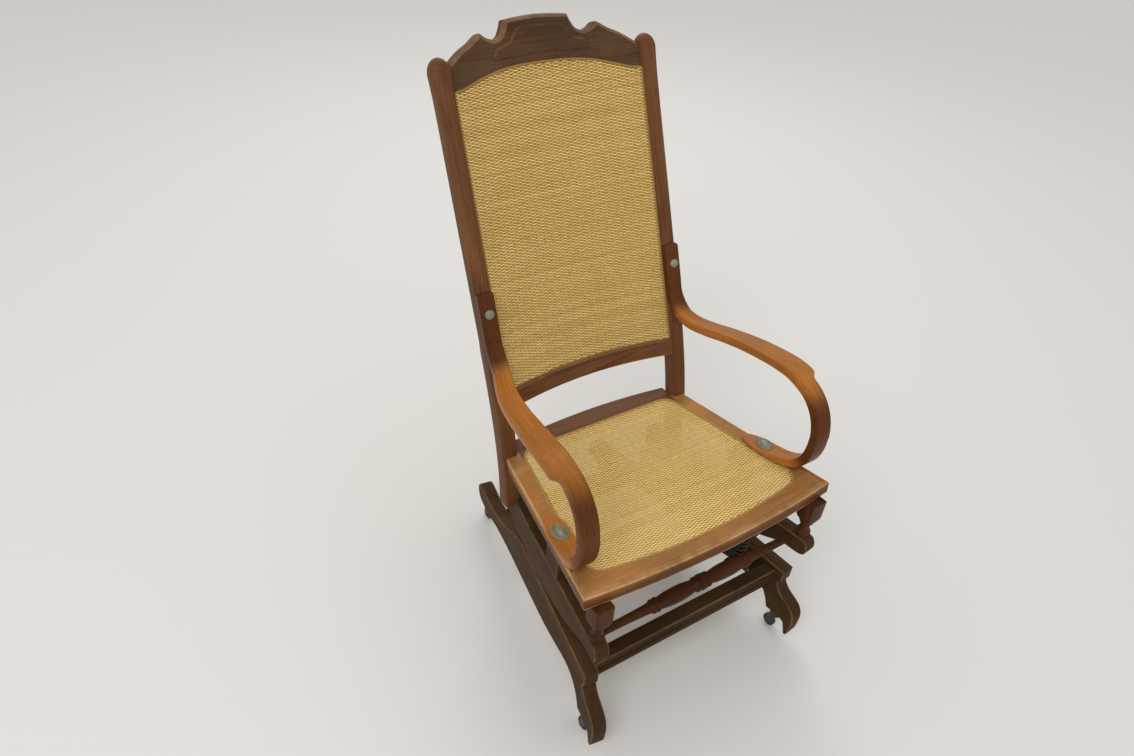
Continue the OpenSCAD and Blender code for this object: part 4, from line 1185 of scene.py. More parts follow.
@dataclass
class SpringSet(Assembly):
    """The four coil springs, their folded brackets and the brackets' screws."""

    wire_d: float = 4.6
    coil_d: float = 29
    height: float = 86
    curls: int = 7
    shelf_z: float = 146
    front_y: float = 148
    back_in: float = 42
    bracket_t: float = 3.2
    bracket_w: float = 38
    bracket_h: float = 36
    shelf_l: float = 42
    spring_in: float = 23
    spud_d: float = 18
    spud_h: float = 8
    screw_d: float = 8
    screw_h: float = 2.4
    screw_step: float = 20
    screw_share: float = 0.6
    closed_share: float = 0.107
    turn_points: int = 26
    wire_sides: int = 10
    fold_share: float = 1.2
    inner_fold_share: float = 0.3
    bracket_ease: float = 0.7
    spud_sides: int = 24
    spud_round: tuple = ((1.5, 0), (0.4, 0.5), (0, 1.6))

    def places(self) -> dict[End, float]:
        """Distance of the front and the back springs along their boards."""
        return {End.FRONT: self.front_y, End.BACK: self.plan.rocker_nose_y + self.plan.rocker_l - self.back_in}

    def coil(self) -> Mesh:
        """One spring about the third direction, with its end curls laid close."""
        tree = Tree(
            "coil_spring",
            {
                "Coil Radius": self.coil_d / 2,
                "Wire Radius": self.wire_d / 2,
                "Height": self.height,
                "Curls": float(self.curls),
                "Closed Share": self.closed_share,
                "Material": self.finishes.iron.material,
            },
        )
        labels = ("Coil Radius", "Wire Radius", "Height", "Curls", "Closed Share")
        radius, thick, height, curls, closed = (tree.value(label) for label in labels)
        turns = {"Resolution": self.turn_points, "Rotations": curls, "Height": 1.0}
        turns |= {"Start Radius": radius, "End Radius": radius}
        spiral = tree.node("GeometryNodeCurveSpiral", None, turns)
        x, y, run = tree.parts()
        laid = thick * 2 * curls
        low = run.math("MINIMUM", closed)
        high = (run - (1 - closed)).math("MAXIMUM", 0.0)
        middle = (run - low - high) / (1 - closed * 2)
        rise = thick + (low + high) * laid + middle * (height - thick * 2 - closed * 2 * laid)
        return tree.mesh(tree.tube(tree.moved(spiral, Position=tree.vector(x, y, rise)), thick, self.wire_sides))

    def spring(self, coil: Mesh, side: Side, end: End, along: float) -> None:
        """Puts one spring between its shelves and lets it press together with the rocking."""
        axis = -self.plan.base_t / 2 - self.bracket_t - self.spring_in
        board = self.plan.on_board(side)

        def place(p: np.ndarray) -> np.ndarray:
            """Places points about the spring's axis."""
            return board(np.stack([p[:, 1] + along, p[:, 2] + self.shelf_z, p[:, 0] + axis], axis=1))

        name = f"coil_spring_{end.value}_{side.word}"
        piece = object_from(coil.copy(), name, place, side is Side.LEFT)
        middle = piece.data.vertices[0].co
        low, high = self.shelf_z * MM, (self.shelf_z + self.height) * MM
        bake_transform(piece, "base", "chair", start=(middle.x, middle.y, low), end=(middle.x, middle.y, high))
        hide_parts(f"spring_{end.value}_{side.word}")
        LOG.info("%s bends between base and chair, %d faces", name, len(piece.data.polygons))

    def bracket_outline(self, way: int) -> Outline:
        """Section of a folded bracket, outwards and up, against the clock.

        Args:
            way: 1 where the upright plate stands above the shelf, -1 where it hangs below.
        """
        t, h, l = self.bracket_t, self.bracket_h * way, self.shelf_l
        bend = t * self.fold_share
        near = bend * self.inner_fold_share
        inner = [(-t, (t + bend) * way), (-t - near, (t + near) * way), (-t - bend, t * way)]
        shelf = [(-l, t * way), (-l, 0), (-bend, 0), (-near, near * way)]
        line = [(0, bend * way), (0, h), (-t, h), *inner, *shelf]
        return line if way > 0 else line[::-1]

    def brackets(self, side: Side) -> None:
        """Makes the lower and the upper brackets of one side, each with the spud that holds its spring."""
        plan = self.plan
        for word, body, thick, z, way in (
            ("lower", "base", plan.base_t, self.shelf_z, -1),
            ("upper", "chair", plan.rocker_t, self.shelf_z + self.height, 1),
        ):
            form = Form()
            for along in self.places().values():
                self.bracket(form, (along, z, -thick / 2), way)
            form.finished(
                f"folded_brackets_{word}", plan.on_board(side), self.finishes.iron, body, f"{word}_brackets", side=side
            )

    def bracket(self, form: Form, at: tuple[float, float, float], way: int) -> None:
        """Adds a folded bracket, drawn out along its board, and the round spud inside the spring's end.

        Args:
            form: The piece that it belongs to.
            at: The bracket's place along the board, up and outwards.
            way: 1 where the upright plate stands above the shelf, -1 where it hangs below.
        """
        along, z, face = at
        edge = rounded(-self.bracket_w / 2, self.bracket_w / 2, self.bracket_ease, self.bracket_ease, 2)
        form.plate(self.bracket_outline(way), edge, None, lambda out, up, v: (along + v, z + up, face + out))
        axis = face - self.bracket_t - self.spring_in
        r = self.spud_d / 2
        spud = [(0, r), *[(self.spud_h - low, r - inset) for low, inset in self.spud_round]]
        form.turned(spud, self.spud_sides, put=lambda out, v, height: (along + v, z - way * height, axis + out))

    def build(self) -> None:
        """Makes springs, brackets and screws."""
        coil = self.coil()
        for side in Side:
            self.brackets(side)
            for end, along in self.places().items():
                self.spring(coil, side, end, along)
        bpy.data.meshes.remove(coil)
        self.screws("lower", "base", "base_screws")
        self.screws("upper", "chair", "rocker_screws")

    def screws(self, word: str, body: str, node: str) -> None:
        """Makes the eight slotted screws of the lower or the upper brackets."""
        plan = self.plan
        lower = word == "lower"
        face = -(plan.base_t if lower else plan.rocker_t) / 2 - self.bracket_t
        rise = self.screw_share * self.bracket_h
        z = self.shelf_z - rise if lower else self.shelf_z + self.height + rise
        spots, turns = [], []
        for side in Side:
            for along in self.places().values():
                for k in (-1, 1):
                    at = np.array([[along + k * self.screw_step / 2, z, face]])
                    spots.append(plan.on_board(side)(at)[0])
                    turns.append((0.0, -side.value * math.pi / 2, side.value * plan.splay))
        head = slotted_head(self.screw_d * MM / 2, self.screw_h * MM)
        piece = copies_on(f"slotted_screws_{word}", head, spots, turns, self.finishes.iron)
        settled(piece, body, Slot.IRON, node)


def mesh_of(name: str, made: bmesh.types.BMesh) -> Mesh:
    """Turns a mesh that was made by hand into data, and frees it."""
    data = bpy.data.meshes.new(name)
    made.to_mesh(data)
    made.free()
    return data


def slotted_head(radius: float, height: float) -> Mesh:
    """A low domed screw head with a slot, its seat at zero, facing up the third direction.

    Args:
        radius: Its radius.
        height: Its height.

    Returns:
        The mesh.
    """
    slot, depth, count = 0.13, 0.45, 9
    columns = [-0.98, -0.8, -0.5, -slot, -slot, slot, slot, 0.5, 0.8, 0.98]
    drops = [0, 0, 0, 0, depth, depth, 0, 0, 0, 0]
    mesh = bmesh.new()
    rows = []
    for x, drop in zip(columns, drops, strict=True):
        reach = math.sqrt(1 - x * x)
        line = []
        for k in range(count):
            y = reach * math.sin(math.pi * (k / (count - 1) - 0.5))
            dome = math.sqrt(max(0.0, 1.02 - x * x - y * y)) - drop
            line.append(mesh.verts.new((x * radius, y * radius, max(0.08, dome) * height)))
        rows.append(line)
    for low, high in pairwise(rows):
        for i in range(count - 1):
            mesh.faces.new((low[i], high[i], high[i + 1], low[i + 1]))
    rim = [*rows[0], *[row[-1] for row in rows[1:-1]], *rows[-1][::-1], *[row[0] for row in rows[-2:0:-1]]]
    foot = [mesh.verts.new((v.co.x, v.co.y, 0)) for v in rim]
    for i in range(len(rim)):
        k = (i + 1) % len(rim)
        mesh.faces.new((rim[i], rim[k], foot[k], foot[i]))
    mesh.faces.new(foot)
    bmesh.ops.remove_doubles(mesh, verts=mesh.verts, dist=radius * 0.001)
    bmesh.ops.recalc_face_normals(mesh, faces=mesh.faces)
    return mesh_of("slotted_head", mesh)


def copies_on(
    name: str,
    shape: Mesh,
    spots: Sequence,
    turns: Sequence,
    finish: Finish,
    soft: bool = False,
) -> Object:
    """Copies of a shape on points, by Geometry Nodes.

    Args:
        name: The piece's name.
        shape: What is copied, in metres.
        spots: The points, in metres.
        turns: The turn of each copy, as three angles.
        finish: Its finish.
        soft: True for smooth shading.

    Returns:
        The object.
    """
    points = bpy.data.meshes.new(f"{name}_points")
    points.from_pydata([tuple(map(float, s)) for s in spots], [], [])
    turn = points.attributes.new("turn", "FLOAT_VECTOR", "POINT")
    turn.data.foreach_set("vector", np.array(turns, np.float32).ravel())
    pattern = shown(f"{name}_pattern", shape)
    tree = Tree(name, {"Points": None, "Shape": pattern, "Material": finish.material})
    source = tree.node("GeometryNodeObjectInfo", None, {"Object": tree.given["Shape"]}).outputs["Geometry"]
    angles = tree.node("GeometryNodeInputNamedAttribute", {"data_type": "FLOAT_VECTOR"}, {"Name": "turn"})
    turned = tree.node("FunctionNodeEulerToRotation", None, {0: angles})
    mesh = tree.mesh(tree.copied(tree.given["Points"], source, Rotation=turned), points)
    bpy.data.objects.remove(pattern)
    piece = object_from(mesh, name, lambda p: p)
    if not soft:
        mesh.shade_flat()
    return piece


@dataclass
class Casters(Assembly):
    """The four swivel casters: sockets in the base, forks, axles and wheels."""

    wheel_d: float = 28
    wheel_w: float = 12
    axle_d: float = 4
    trail: float = 9
    fork_z: float = 46
    fork_t: float = 2.5
    fork_gap: float = 0.5
    fork_ease: float = 0.6
    crown_t: float = 4
    crown_d: float = 22
    cheek_w: float = 12
    flange_d: float = 24
    front_y: float = 47
    back_in: float = 43
    pad_share: float = 0.321
    heel_share: float = 0.257
    wheel_face: tuple = (
        (0.2, 2.06), (0.2, 4.2), (0.5, 4.6), (1.6, 5.2), (1.8, 9.2), (0.4, 10.2), (0, 11), (0.5, 12.7), (1.6, 13.7),
        (3, 14),
    )

    def swivel(self, along: float) -> tuple[float, float]:
        """Where a caster's swivel axis stands: to the right, and behind the toes."""
        plan = self.plan
        return plan.base_w / 2 - plan.base_t / 2 - along * math.sin(plan.splay), along * math.cos(plan.splay)

    def place(self, side: Side, x: float, y: float) -> Place:
        """The frame of a caster: the swivel axis is the third direction, and the wheel trails behind it."""
        return lambda p: self.plan.on_floor((p + [x, y, 0]) * [side.value, 1, 1])

    def wheel(self) -> Form:
        """A wheel about its axle, with a crowned tread, dished faces and a raised hub."""
        side = [(self.wheel_w / 2 - dent, radius) for dent, radius in self.wheel_face]
        profile = [*side, *[(-w, radius) for w, radius in side[::-1]]]
        return Form().turned(profile, put=lying(self.trail, self.wheel_d / 2), closed=True)

    def fork(self) -> Form:
        """A stamped fork: a crown with a raised ring, and two cheeks that taper to the axle."""
        z, r, half, axle = self.fork_z, self.crown_d / 2, self.cheek_w / 2, self.wheel_d / 2
        low = z - self.crown_t
        form = Form().turned([(low, r - 1), (low + 0.8, r), (z - 0.8, r), (z - 0.2, r - 0.8), (z, r - 2)])
        turns = even(math.pi, 2 * math.pi, 12)
        lower = [(self.trail + half * math.cos(a), axle + half * math.sin(a)) for a in turns]
        top = z - self.crown_t / 2
        outline = [*lower, (half + 1, top), (-half - 1, top)]
        inner = self.wheel_w / 2 + self.fork_gap
        for start in (inner, -inner - self.fork_t):
            edge = rounded(start, start + self.fork_t, self.fork_ease, self.fork_ease, 2)
            form.plate(outline, edge, None, lying(0, 0))
        return form

    def axle(self) -> Form:
        """The axle with its riveted ends."""
        end = self.wheel_w / 2 + 2 * self.fork_gap + self.fork_t
        r = self.axle_d / 2
        half = [(end, 0.6), (end - 0.15, r - 0.4), (end - 0.6, r), (0, r)]
        return Form().turned(both_halves(half), 20, put=lying(self.trail, self.wheel_d / 2))

    def build(self) -> None:
        """Makes all four casters and their sockets."""
        plan = self.plan
        ends = {End.FRONT: (self.front_y, self.pad_share), End.BACK: (plan.base_l - self.back_in, self.heel_share)}
        sockets = Form()
        r, low = self.flange_d / 2, self.fork_z + plan.run_gap
        for end, (along, pad_share) in ends.items():
            top = pad_share * plan.base_h
            flange = [(low, r - 2.5), (low + 0.2, r - 0.6), (low + 0.7, r), (top - 0.3, r), (top, r - 0.4)]
            x, y = self.swivel(along)
            for side in Side:
                word = f"{end.value}_{side.word}"
                for form, name, finish, body, node, slot in (
                    (self.wheel(), "caster_roller", self.finishes.black, "wheel", "caster_wheel", None),
                    (self.fork(), "stamped_fork", self.finishes.black, "caster", "caster_fork", Slot.BRONZE),
                    (self.axle(), "riveted_axle", self.finishes.iron, "caster", "caster_axle", None),
                ):
                    names = f"{body}_{word}", f"{node}_{word}"
                    form.finished(f"{name}_{word}", self.place(side, x, y), finish, *names, slot=slot)
                sockets.turned(flange, put=upright(side.value * x, y))
        sockets.finished("flanged_sockets", plan.on_floor, self.finishes.iron, "base", "caster_sockets")


@dataclass
class Understructure(Assembly):
    """What stands on the base and carries the seat: rockers, posts, blocks and stretchers."""

    edge_r: float = 2.5
    tail_share: float = 0.975
    front_share: float = 0.14
    rocker_top_shares: tuple = (
        (0.046, 1), (0.12, 0.965), (0.233, 0.936), (0.454, 0.862), (0.696, 0.807), (0.925, 0.78),
        (0.987, 0.771), (0.998, 0.73), (1, 0.64), (1, 0.4),
    )
    rocker_nose_shares: tuple = (
        (0.098, 0.606), (0.056, 0.619), (0.027, 0.642), (0.009, 0.693), (0.001, 0.794), (0.006, 0.904),
        (0.018, 0.977),
    )
    front_post_w: float = 34
    front_post_y: float = 51
    block_h: float = 70
    chamfers: tuple = ((0, 0.93, 15.81), (1.2, 0.97, 12.75), (3.5, 1, 8), (7, 1, 3.2), (12, 1, 2.2))
    lap: float = 3
    turning_h: float = 49
    turning_shares: tuple = (
        (0, 0.75), (0.03, 0.77), (0.1, 0.77), (0.15, 0.74), (0.17, 0.64), (0.21, 0.61), (0.235, 0.7),
        (0.27, 0.8), (0.32, 0.83), (0.37, 0.8), (0.42, 0.7), (0.45, 0.6), (0.5, 0.565), (0.6, 0.55),
        (0.7, 0.56), (0.77, 0.62), (0.8, 0.7), (0.83, 0.78), (0.87, 0.82), (0.9, 0.8), (0.93, 0.86), (1, 0.97),
    )
    stretcher_d: float = 31
    stretcher_y: float = 64
    stretcher_z: float = 286
    stretcher_shares: tuple = (
        (0, 0.93), (0.008, 1), (0.017, 0.99), (0.023, 0.86), (0.028, 0.8), (0.036, 0.8), (0.04, 0.88),
        (0.048, 0.94), (0.06, 0.95), (0.072, 0.9), (0.078, 0.8), (0.084, 0.76), (0.1, 0.78), (0.13, 0.85),
        (0.18, 0.93), (0.24, 0.97), (0.3, 0.96), (0.36, 0.9), (0.41, 0.8), (0.435, 0.73), (0.44, 0.8),
        (0.447, 0.88), (0.457, 0.9), (0.466, 0.87), (0.472, 0.76), (0.477, 0.72), (0.483, 0.78),
        (0.49, 0.86), (0.499, 0.86), (0.507, 0.8), (0.513, 0.7), (0.53, 0.65), (0.57, 0.6), (0.66, 0.56),
        (0.8, 0.51), (0.93, 0.5), (1, 0.5),
    )
    back_stretcher_d: float = 20
    back_stretcher_in: float = 28
    taper_share: float = 0.22
    block_w: float = 26
    block_l: float = 50
    block_y: float = 222
    block_ease: float = 2
    turned_sides: int = 48
    post_handle: float = 112
    post_foot_z: float = 265
    post_l: float = 506
    post_heights: tuple = (20, 60, 120, 200, 300, 400, 440, 465, 482)
    swell_share: float = 0.1
    swell_v: float = 420
    swell_l: float = 60
    curve_points: int = 25
    upper_corner: float = 9
    lower_corner: float = 5
    dome_shares: tuple = (0.35, 0.6, 0.78, 0.9, 0.97, 1.0)
    dome_power: float = 2.6
    tip_share: float = 0.02

    def rocker(self, side: Side) -> None:
        """Makes one rocker, a board with a curved rolling edge."""
        plan = self.plan
        size = (plan.rocker_l, plan.rocker_rise, (plan.rocker_nose_y, plan.contact_z))
        top = smooth(scaled(self.rocker_top_shares, *size), 3)
        nose = smooth(scaled(self.rocker_nose_shares, *size), 4)
        ends = [plan.rocker_nose_y + plan.rocker_l * s for s in (self.tail_share, self.front_share)]
        edge = [(a, plan.rolling_edge(a)) for a in np.linspace(*ends, 40)]
        outline = [*top, *edge, *nose][::-1]
        half = plan.rocker_t / 2
        form = Form().plate(outline, rounded(-half, half, self.edge_r, self.edge_r))
        form.finished("rolling_rocker", plan.on_board(side), self.finishes.dark, "chair", "rocker", side=side)

    def front_post(self, side: Side) -> None:
        """Makes one front post: a turned neck under a square block with chamfered corners."""
        plan = self.plan
        x = plan.base_w / 2 - plan.base_t / 2 - self.front_post_y * math.sin(plan.splay)
        foot = plan.contact_z + plan.rocker_rise * self.rocker_top_shares[1][1] - self.lap
        height = self.turning_h + self.lap
        half = self.front_post_w / 2
        turning = [(foot + h * height, r * half) for h, r in self.turning_shares]
        form = Form().turned(turning, self.turned_sides, put=upright(x, self.front_post_y))
        stations = []
        for up, share, corner in self.chamfers:
            middle = (x, self.front_post_y, foot + height + up)
            stations.append(Station(middle, (1, 0, 0), (0, 1, 0), share * half, share * half, corner, up))
        form.bar([*stations, replace(stations[-1], middle=(x, self.front_post_y, plan.seat_z), along=self.block_h)])
        drop = plan.seat_t / math.cos(plan.seat_slope)
        for vert in form.mesh.verts:
            vert.co.z = min(vert.co.z, plan.seat_top(vert.co.y) - drop)
        form.finished("turned_front_post", plan.on_side(side), self.finishes.turned, "chair", "front_post", side=side)

    def stretchers(self) -> None:
        """Makes the turned front stretcher and the plain back one."""
        plan = self.plan
        reach = plan.inner_face(self.stretcher_y, plan.rocker_t) + 2
        half = [(s * reach, r * self.stretcher_d / 2) for s, r in self.stretcher_shares]
        form = Form().turned(both_halves(half[::-1]), self.turned_sides, put=lying(self.stretcher_y, self.stretcher_z))
        form.finished("ringed_front_stretcher", plan.on_floor, self.finishes.turned, "chair", "front_stretcher")
        y = plan.post_foot_y - self.back_stretcher_in
        top = plan.contact_z + plan.rocker_rise * self.rocker_top_shares[5][1]
        reach = plan.inner_face(y, plan.rocker_t) + 2
        half = [(s * reach, self.back_stretcher_d / 2 * (1 - self.taper_share * s**3)) for s in even(0, 1, 12)]
        form = Form().turned(both_halves(half[::-1]), self.turned_sides, put=lying(y, (plan.rolling_edge(y) + top) / 2))
        form.finished("round_back_stretcher", plan.on_floor, self.finishes.dark, "chair", "back_stretcher")

    def seat_block(self, side: Side) -> None:
        """Makes the block between a rocker and the seat."""
        plan = self.plan
        low, high = self.block_y - self.block_l / 2, self.block_y + self.block_l / 2
        foot = plan.contact_z + plan.rocker_rise / 2
        drop = plan.seat_t / math.cos(plan.seat_slope)
        outline = [(low, foot), (high, foot), (high, plan.seat_top(high) - drop), (low, plan.seat_top(low) - drop)]
        half = self.block_w / 2
        form = Form().plate(outline, rounded(-half, half, self.block_ease, self.block_ease), [0.0, 1.0, 0.0, 1.0])
        form.finished("seat_riser", plan.on_board(side), self.finishes.dark, "chair", "seat_block", side=side)

    def post_line(self) -> list[tuple[float, float, float]]:
        """The front face of a back post from its foot to its top: distance behind the toes, height, share bent."""
        plan = self.plan
        bend = np.array([plan.bend_y, plan.bend_z])
        foot = np.array([plan.post_foot_y, self.post_foot_z])
        up = np.array([math.sin(plan.recline), math.cos(plan.recline)])
        a, b, c, d = foot, foot + [0, self.post_handle], bend - self.post_handle * up, bend
        line = []
        for t in np.linspace(0, 1, self.curve_points):
            p = (1 - t) ** 3 * a + 3 * (1 - t) ** 2 * t * b + 3 * (1 - t) * t * t * c + t**3 * d
            line.append((p[0], p[1], 1.0))
        for v in self.post_heights:
            p = bend + v * up
            line.append((p[0], p[1], 0.0))
        return line

    def back_post(self, side: Side) -> None:
        """Makes one back post: curved below, straight and rounded above, with a swollen domed top."""
        plan = self.plan
        line = self.post_line()
        x = plan.back_w / 2 + plan.post_w / 2
        half_w, half_d = plan.post_w / 2, plan.post_d / 2
        stations = []
        for (y, z, lower), (way, along) in zip(line, runs(line), strict=True):
            up = (z - plan.bend_z) / math.cos(plan.recline)
            swell = 1 + self.swell_share * min(1.0, max(0.0, (up - self.swell_v) / self.swell_l)) ** 2
            middle = (x, y + way[1] * half_d, z - way[0] * half_d)
            corner = lerp(self.upper_corner, self.lower_corner, lower) * swell
            stations.append(
                Station(middle, (1, 0, 0), (0, way[1], -way[0]), half_w * swell, half_d * swell, corner, along)
            )
        last, swell, start = stations[-1], 1 + self.swell_share, self.post_heights[-1]
        up = np.array([0, math.sin(plan.recline), math.cos(plan.recline)])
        for share in self.dome_shares:
            size = swell * math.sqrt(max(self.tip_share, 1 - share**self.dome_power))
            middle = tuple(np.array(last.middle) + up * (self.post_l - start) * share)
            corner = lerp(self.upper_corner * swell, half_w * size, share)
            along = last.along + start * share
            sizes = {"half_w": half_w * size, "half_t": half_d * size, "corner": corner, "along": along}
            stations.append(replace(last, middle=middle, **sizes))
        form = Form().bar(stations, 6)
        form.finished("curved_back_post", plan.on_side(side), self.finishes.red, "chair", "back_post", side=side)

    def build(self) -> None:
        """Makes every piece of the understructure."""
        for side in Side:
            self.rocker(side)
            self.front_post(side)
            self.seat_block(side)
            self.back_post(side)
        self.stretchers()


@dataclass
class SeatFrame(Assembly):
    """The four rails round the seat cane."""

    bow: float = 17
    side_w: float = 28.5
    front_w: float = 32
    back_rail_w: float = 37
    back_bow: float = 15
    joint_y: float = 60
    cane_r: float = 34
    cane_post_in: float = 4
    nose_r: float = 3.4
    edge_r: float = 6
    nose_steps: int = 5
    side_steps: int = 4
    # Heights over which the rails turn to their lit colours: painted light on their tops, while the faces below keep
    # the darker colours.
    front_sun: tuple[float, float] = (-6, -0.4)
    side_sun: tuple[float, float] = (-7, -2)
    rear_low_r: float = 4
    rear_top_r: float = 6
    bow_steps: int = 32
    over: float = 3
    inner_share: float = 0.06
    rear_share: float = 0.05
    # The double bead's rising faces take the lighter edge colour, painted as thin highlight lines.
    bead_line: tuple = (
        (0.5, -2.4), (1.3, -0.5), (2.2, 0.3), (3.1, -0.5), (4, -2.4),
        (4.8, -0.5), (5.7, 0.3), (6.5, -0.5), (7.2, -1.8), (8, 0),
    )

    def half(self, y: float) -> float:
        """Half width of the frame at a distance behind its front corners."""
        plan = self.plan
        back = plan.back_w + 2 * plan.seat_corner_out
        return lerp(plan.seat_front_w, back, y / plan.seat_l) / 2

    def corner(self, middle: tuple[float, float], r: float, start: float, end: float) -> Outline:
        """An arc between two directions in degrees."""
        turns = [math.radians(a) for a in even(start, end, 10)]
        return [(middle[0] + r * math.cos(a), middle[1] + r * math.sin(a)) for a in turns]

    def corners(self, grow: float = 0.0) -> tuple[float, float, float, float]:
        """Edges of the cane's opening: front, back, and its half widths at the front and at the back."""
        front, back = self.front_w - grow, self.plan.seat_l + grow
        wide = self.half(front + self.cane_r) - self.side_w + grow
        return front, back, wide, self.plan.back_w / 2 - self.cane_post_in + grow

    def opening(self, grow: float) -> Outline:
        """The rounded opening for the cane, grown all round."""
        front, back, wide, narrow = self.corners(grow)
        r = self.cane_r
        return [
            *self.corner((-wide + r, front + r), r, 180, 270),
            *self.front_curve(wide - r, front)[1:-1],
            *self.corner((wide - r, front + r), r, 270, 360),
            *self.corner((narrow - r, back - r), r, 0, 90),
            *self.corner((-narrow + r, back - r), r, 90, 180),
        ]

    def front_curve(self, reach: float, y: float) -> Outline:
        """A bowed line from left to right, like the front rail's edge."""
        return [(t * reach, y - self.bow * (1 - t * t)) for t in even(-1, 1, self.bow_steps)]

    def front_rail(self) -> None:
        """Makes the front rail, with a double bead along its rounded front edge."""
        plan = self.plan
        front, _, wide, _ = self.corners()
        r = self.cane_r
        turn = math.degrees(math.asin((self.joint_y - front - r) / r))
        outer = self.front_curve(plan.seat_front_w / 2, 0)
        joint = self.half(self.joint_y)
        inner_right = self.corner((wide - r, front + r), r, 360 + turn, 270)
        inner = [*inner_right, *self.front_curve(wide - r, front)[-2:0:-1], *[(-x, y) for x, y in inner_right[::-1]]]
        outline = [*outer, (joint, self.joint_y), *inner, (-joint, self.joint_y)]
        shares = [*[1.0] * len(outer), 0.0, *[self.inner_share] * (len(inner) - 1), 0.0, 1.0]
        profile = rounded(-plan.seat_t, 0, self.edge_r, self.nose_r, self.nose_steps)[:-1]
        profile += [(self.nose_r + inset, height) for inset, height in self.bead_line]
        # The top of the front rail is painted lit.
        form = Form().plate(outline, profile, shares).lit(*self.front_sun)
        form.finished("beaded_seat_front", plan.on_seat, self.finishes.honey, "chair", "seat_front_rail")

    def side_rail(self, side: Side) -> None:
        """Makes one side rail with a rounded outer edge."""
        plan = self.plan
        front, back, wide, narrow = self.corners()
        r = self.cane_r
        turn = math.degrees(math.asin((self.joint_y - front - r) / r))
        inner_x = plan.back_w / 2 - self.over
        half_back = plan.back_w / 2 + plan.seat_corner_out
        arc = self.corner((wide - r, front + r), r, turn, 0)
        outline = [
            (self.half(self.joint_y), self.joint_y),
            (half_back, back),
            (inner_x, back),
            (inner_x, back - r),
            (narrow, back - r),
            *arc[::-1],
        ]
        shares = [1.0, 0.0, 0.0, 0.0, *[self.inner_share] * len(arc), 0.0]
        edge = rounded(-plan.seat_t, 0, self.edge_r, self.nose_r, self.side_steps)
        form = Form().plate(outline, edge, shares).lit(*self.side_sun)
        place = plan.on_seat_side(side)
        form.finished("rounded_seat_side", place, self.finishes.honey, "chair", "seat_side_rail", side=side)

    def back_rail(self) -> None:
        """Makes the back rail, bowed to the rear between the posts."""
        plan = self.plan
        _, back, _, narrow = self.corners()
        r = self.cane_r
        inner_x, outer_x = plan.back_w / 2 - self.over, plan.back_w / 2 - plan.run_gap
        arc = self.corner((narrow - r, back - r), r, 0, 90)
        half = [(outer_x, back), (inner_x, back), (inner_x, back - r), *arc]
        rear = [(t * outer_x, back + self.back_rail_w + self.back_bow * (1 - t * t)) for t in even(-1, 1, 24)]
        outline = [*half, *[(-x, y) for x, y in half[::-1]], *rear][::-1]
        edges = pairwise([*outline, outline[0]])
        shares = [1.0 if min(p[1], q[1]) > back + self.over else self.rear_share for p, q in edges]
        form = Form().plate(outline, rounded(-plan.seat_t, 0, self.rear_low_r, self.rear_top_r), shares)
        form.finished("bowed_seat_back", plan.on_seat, self.finishes.red, "chair", "seat_back_rail")

    def build(self) -> None:
        """Makes the four rails."""
        self.front_rail()
        for side in Side:
            self.side_rail(side)
        self.back_rail()


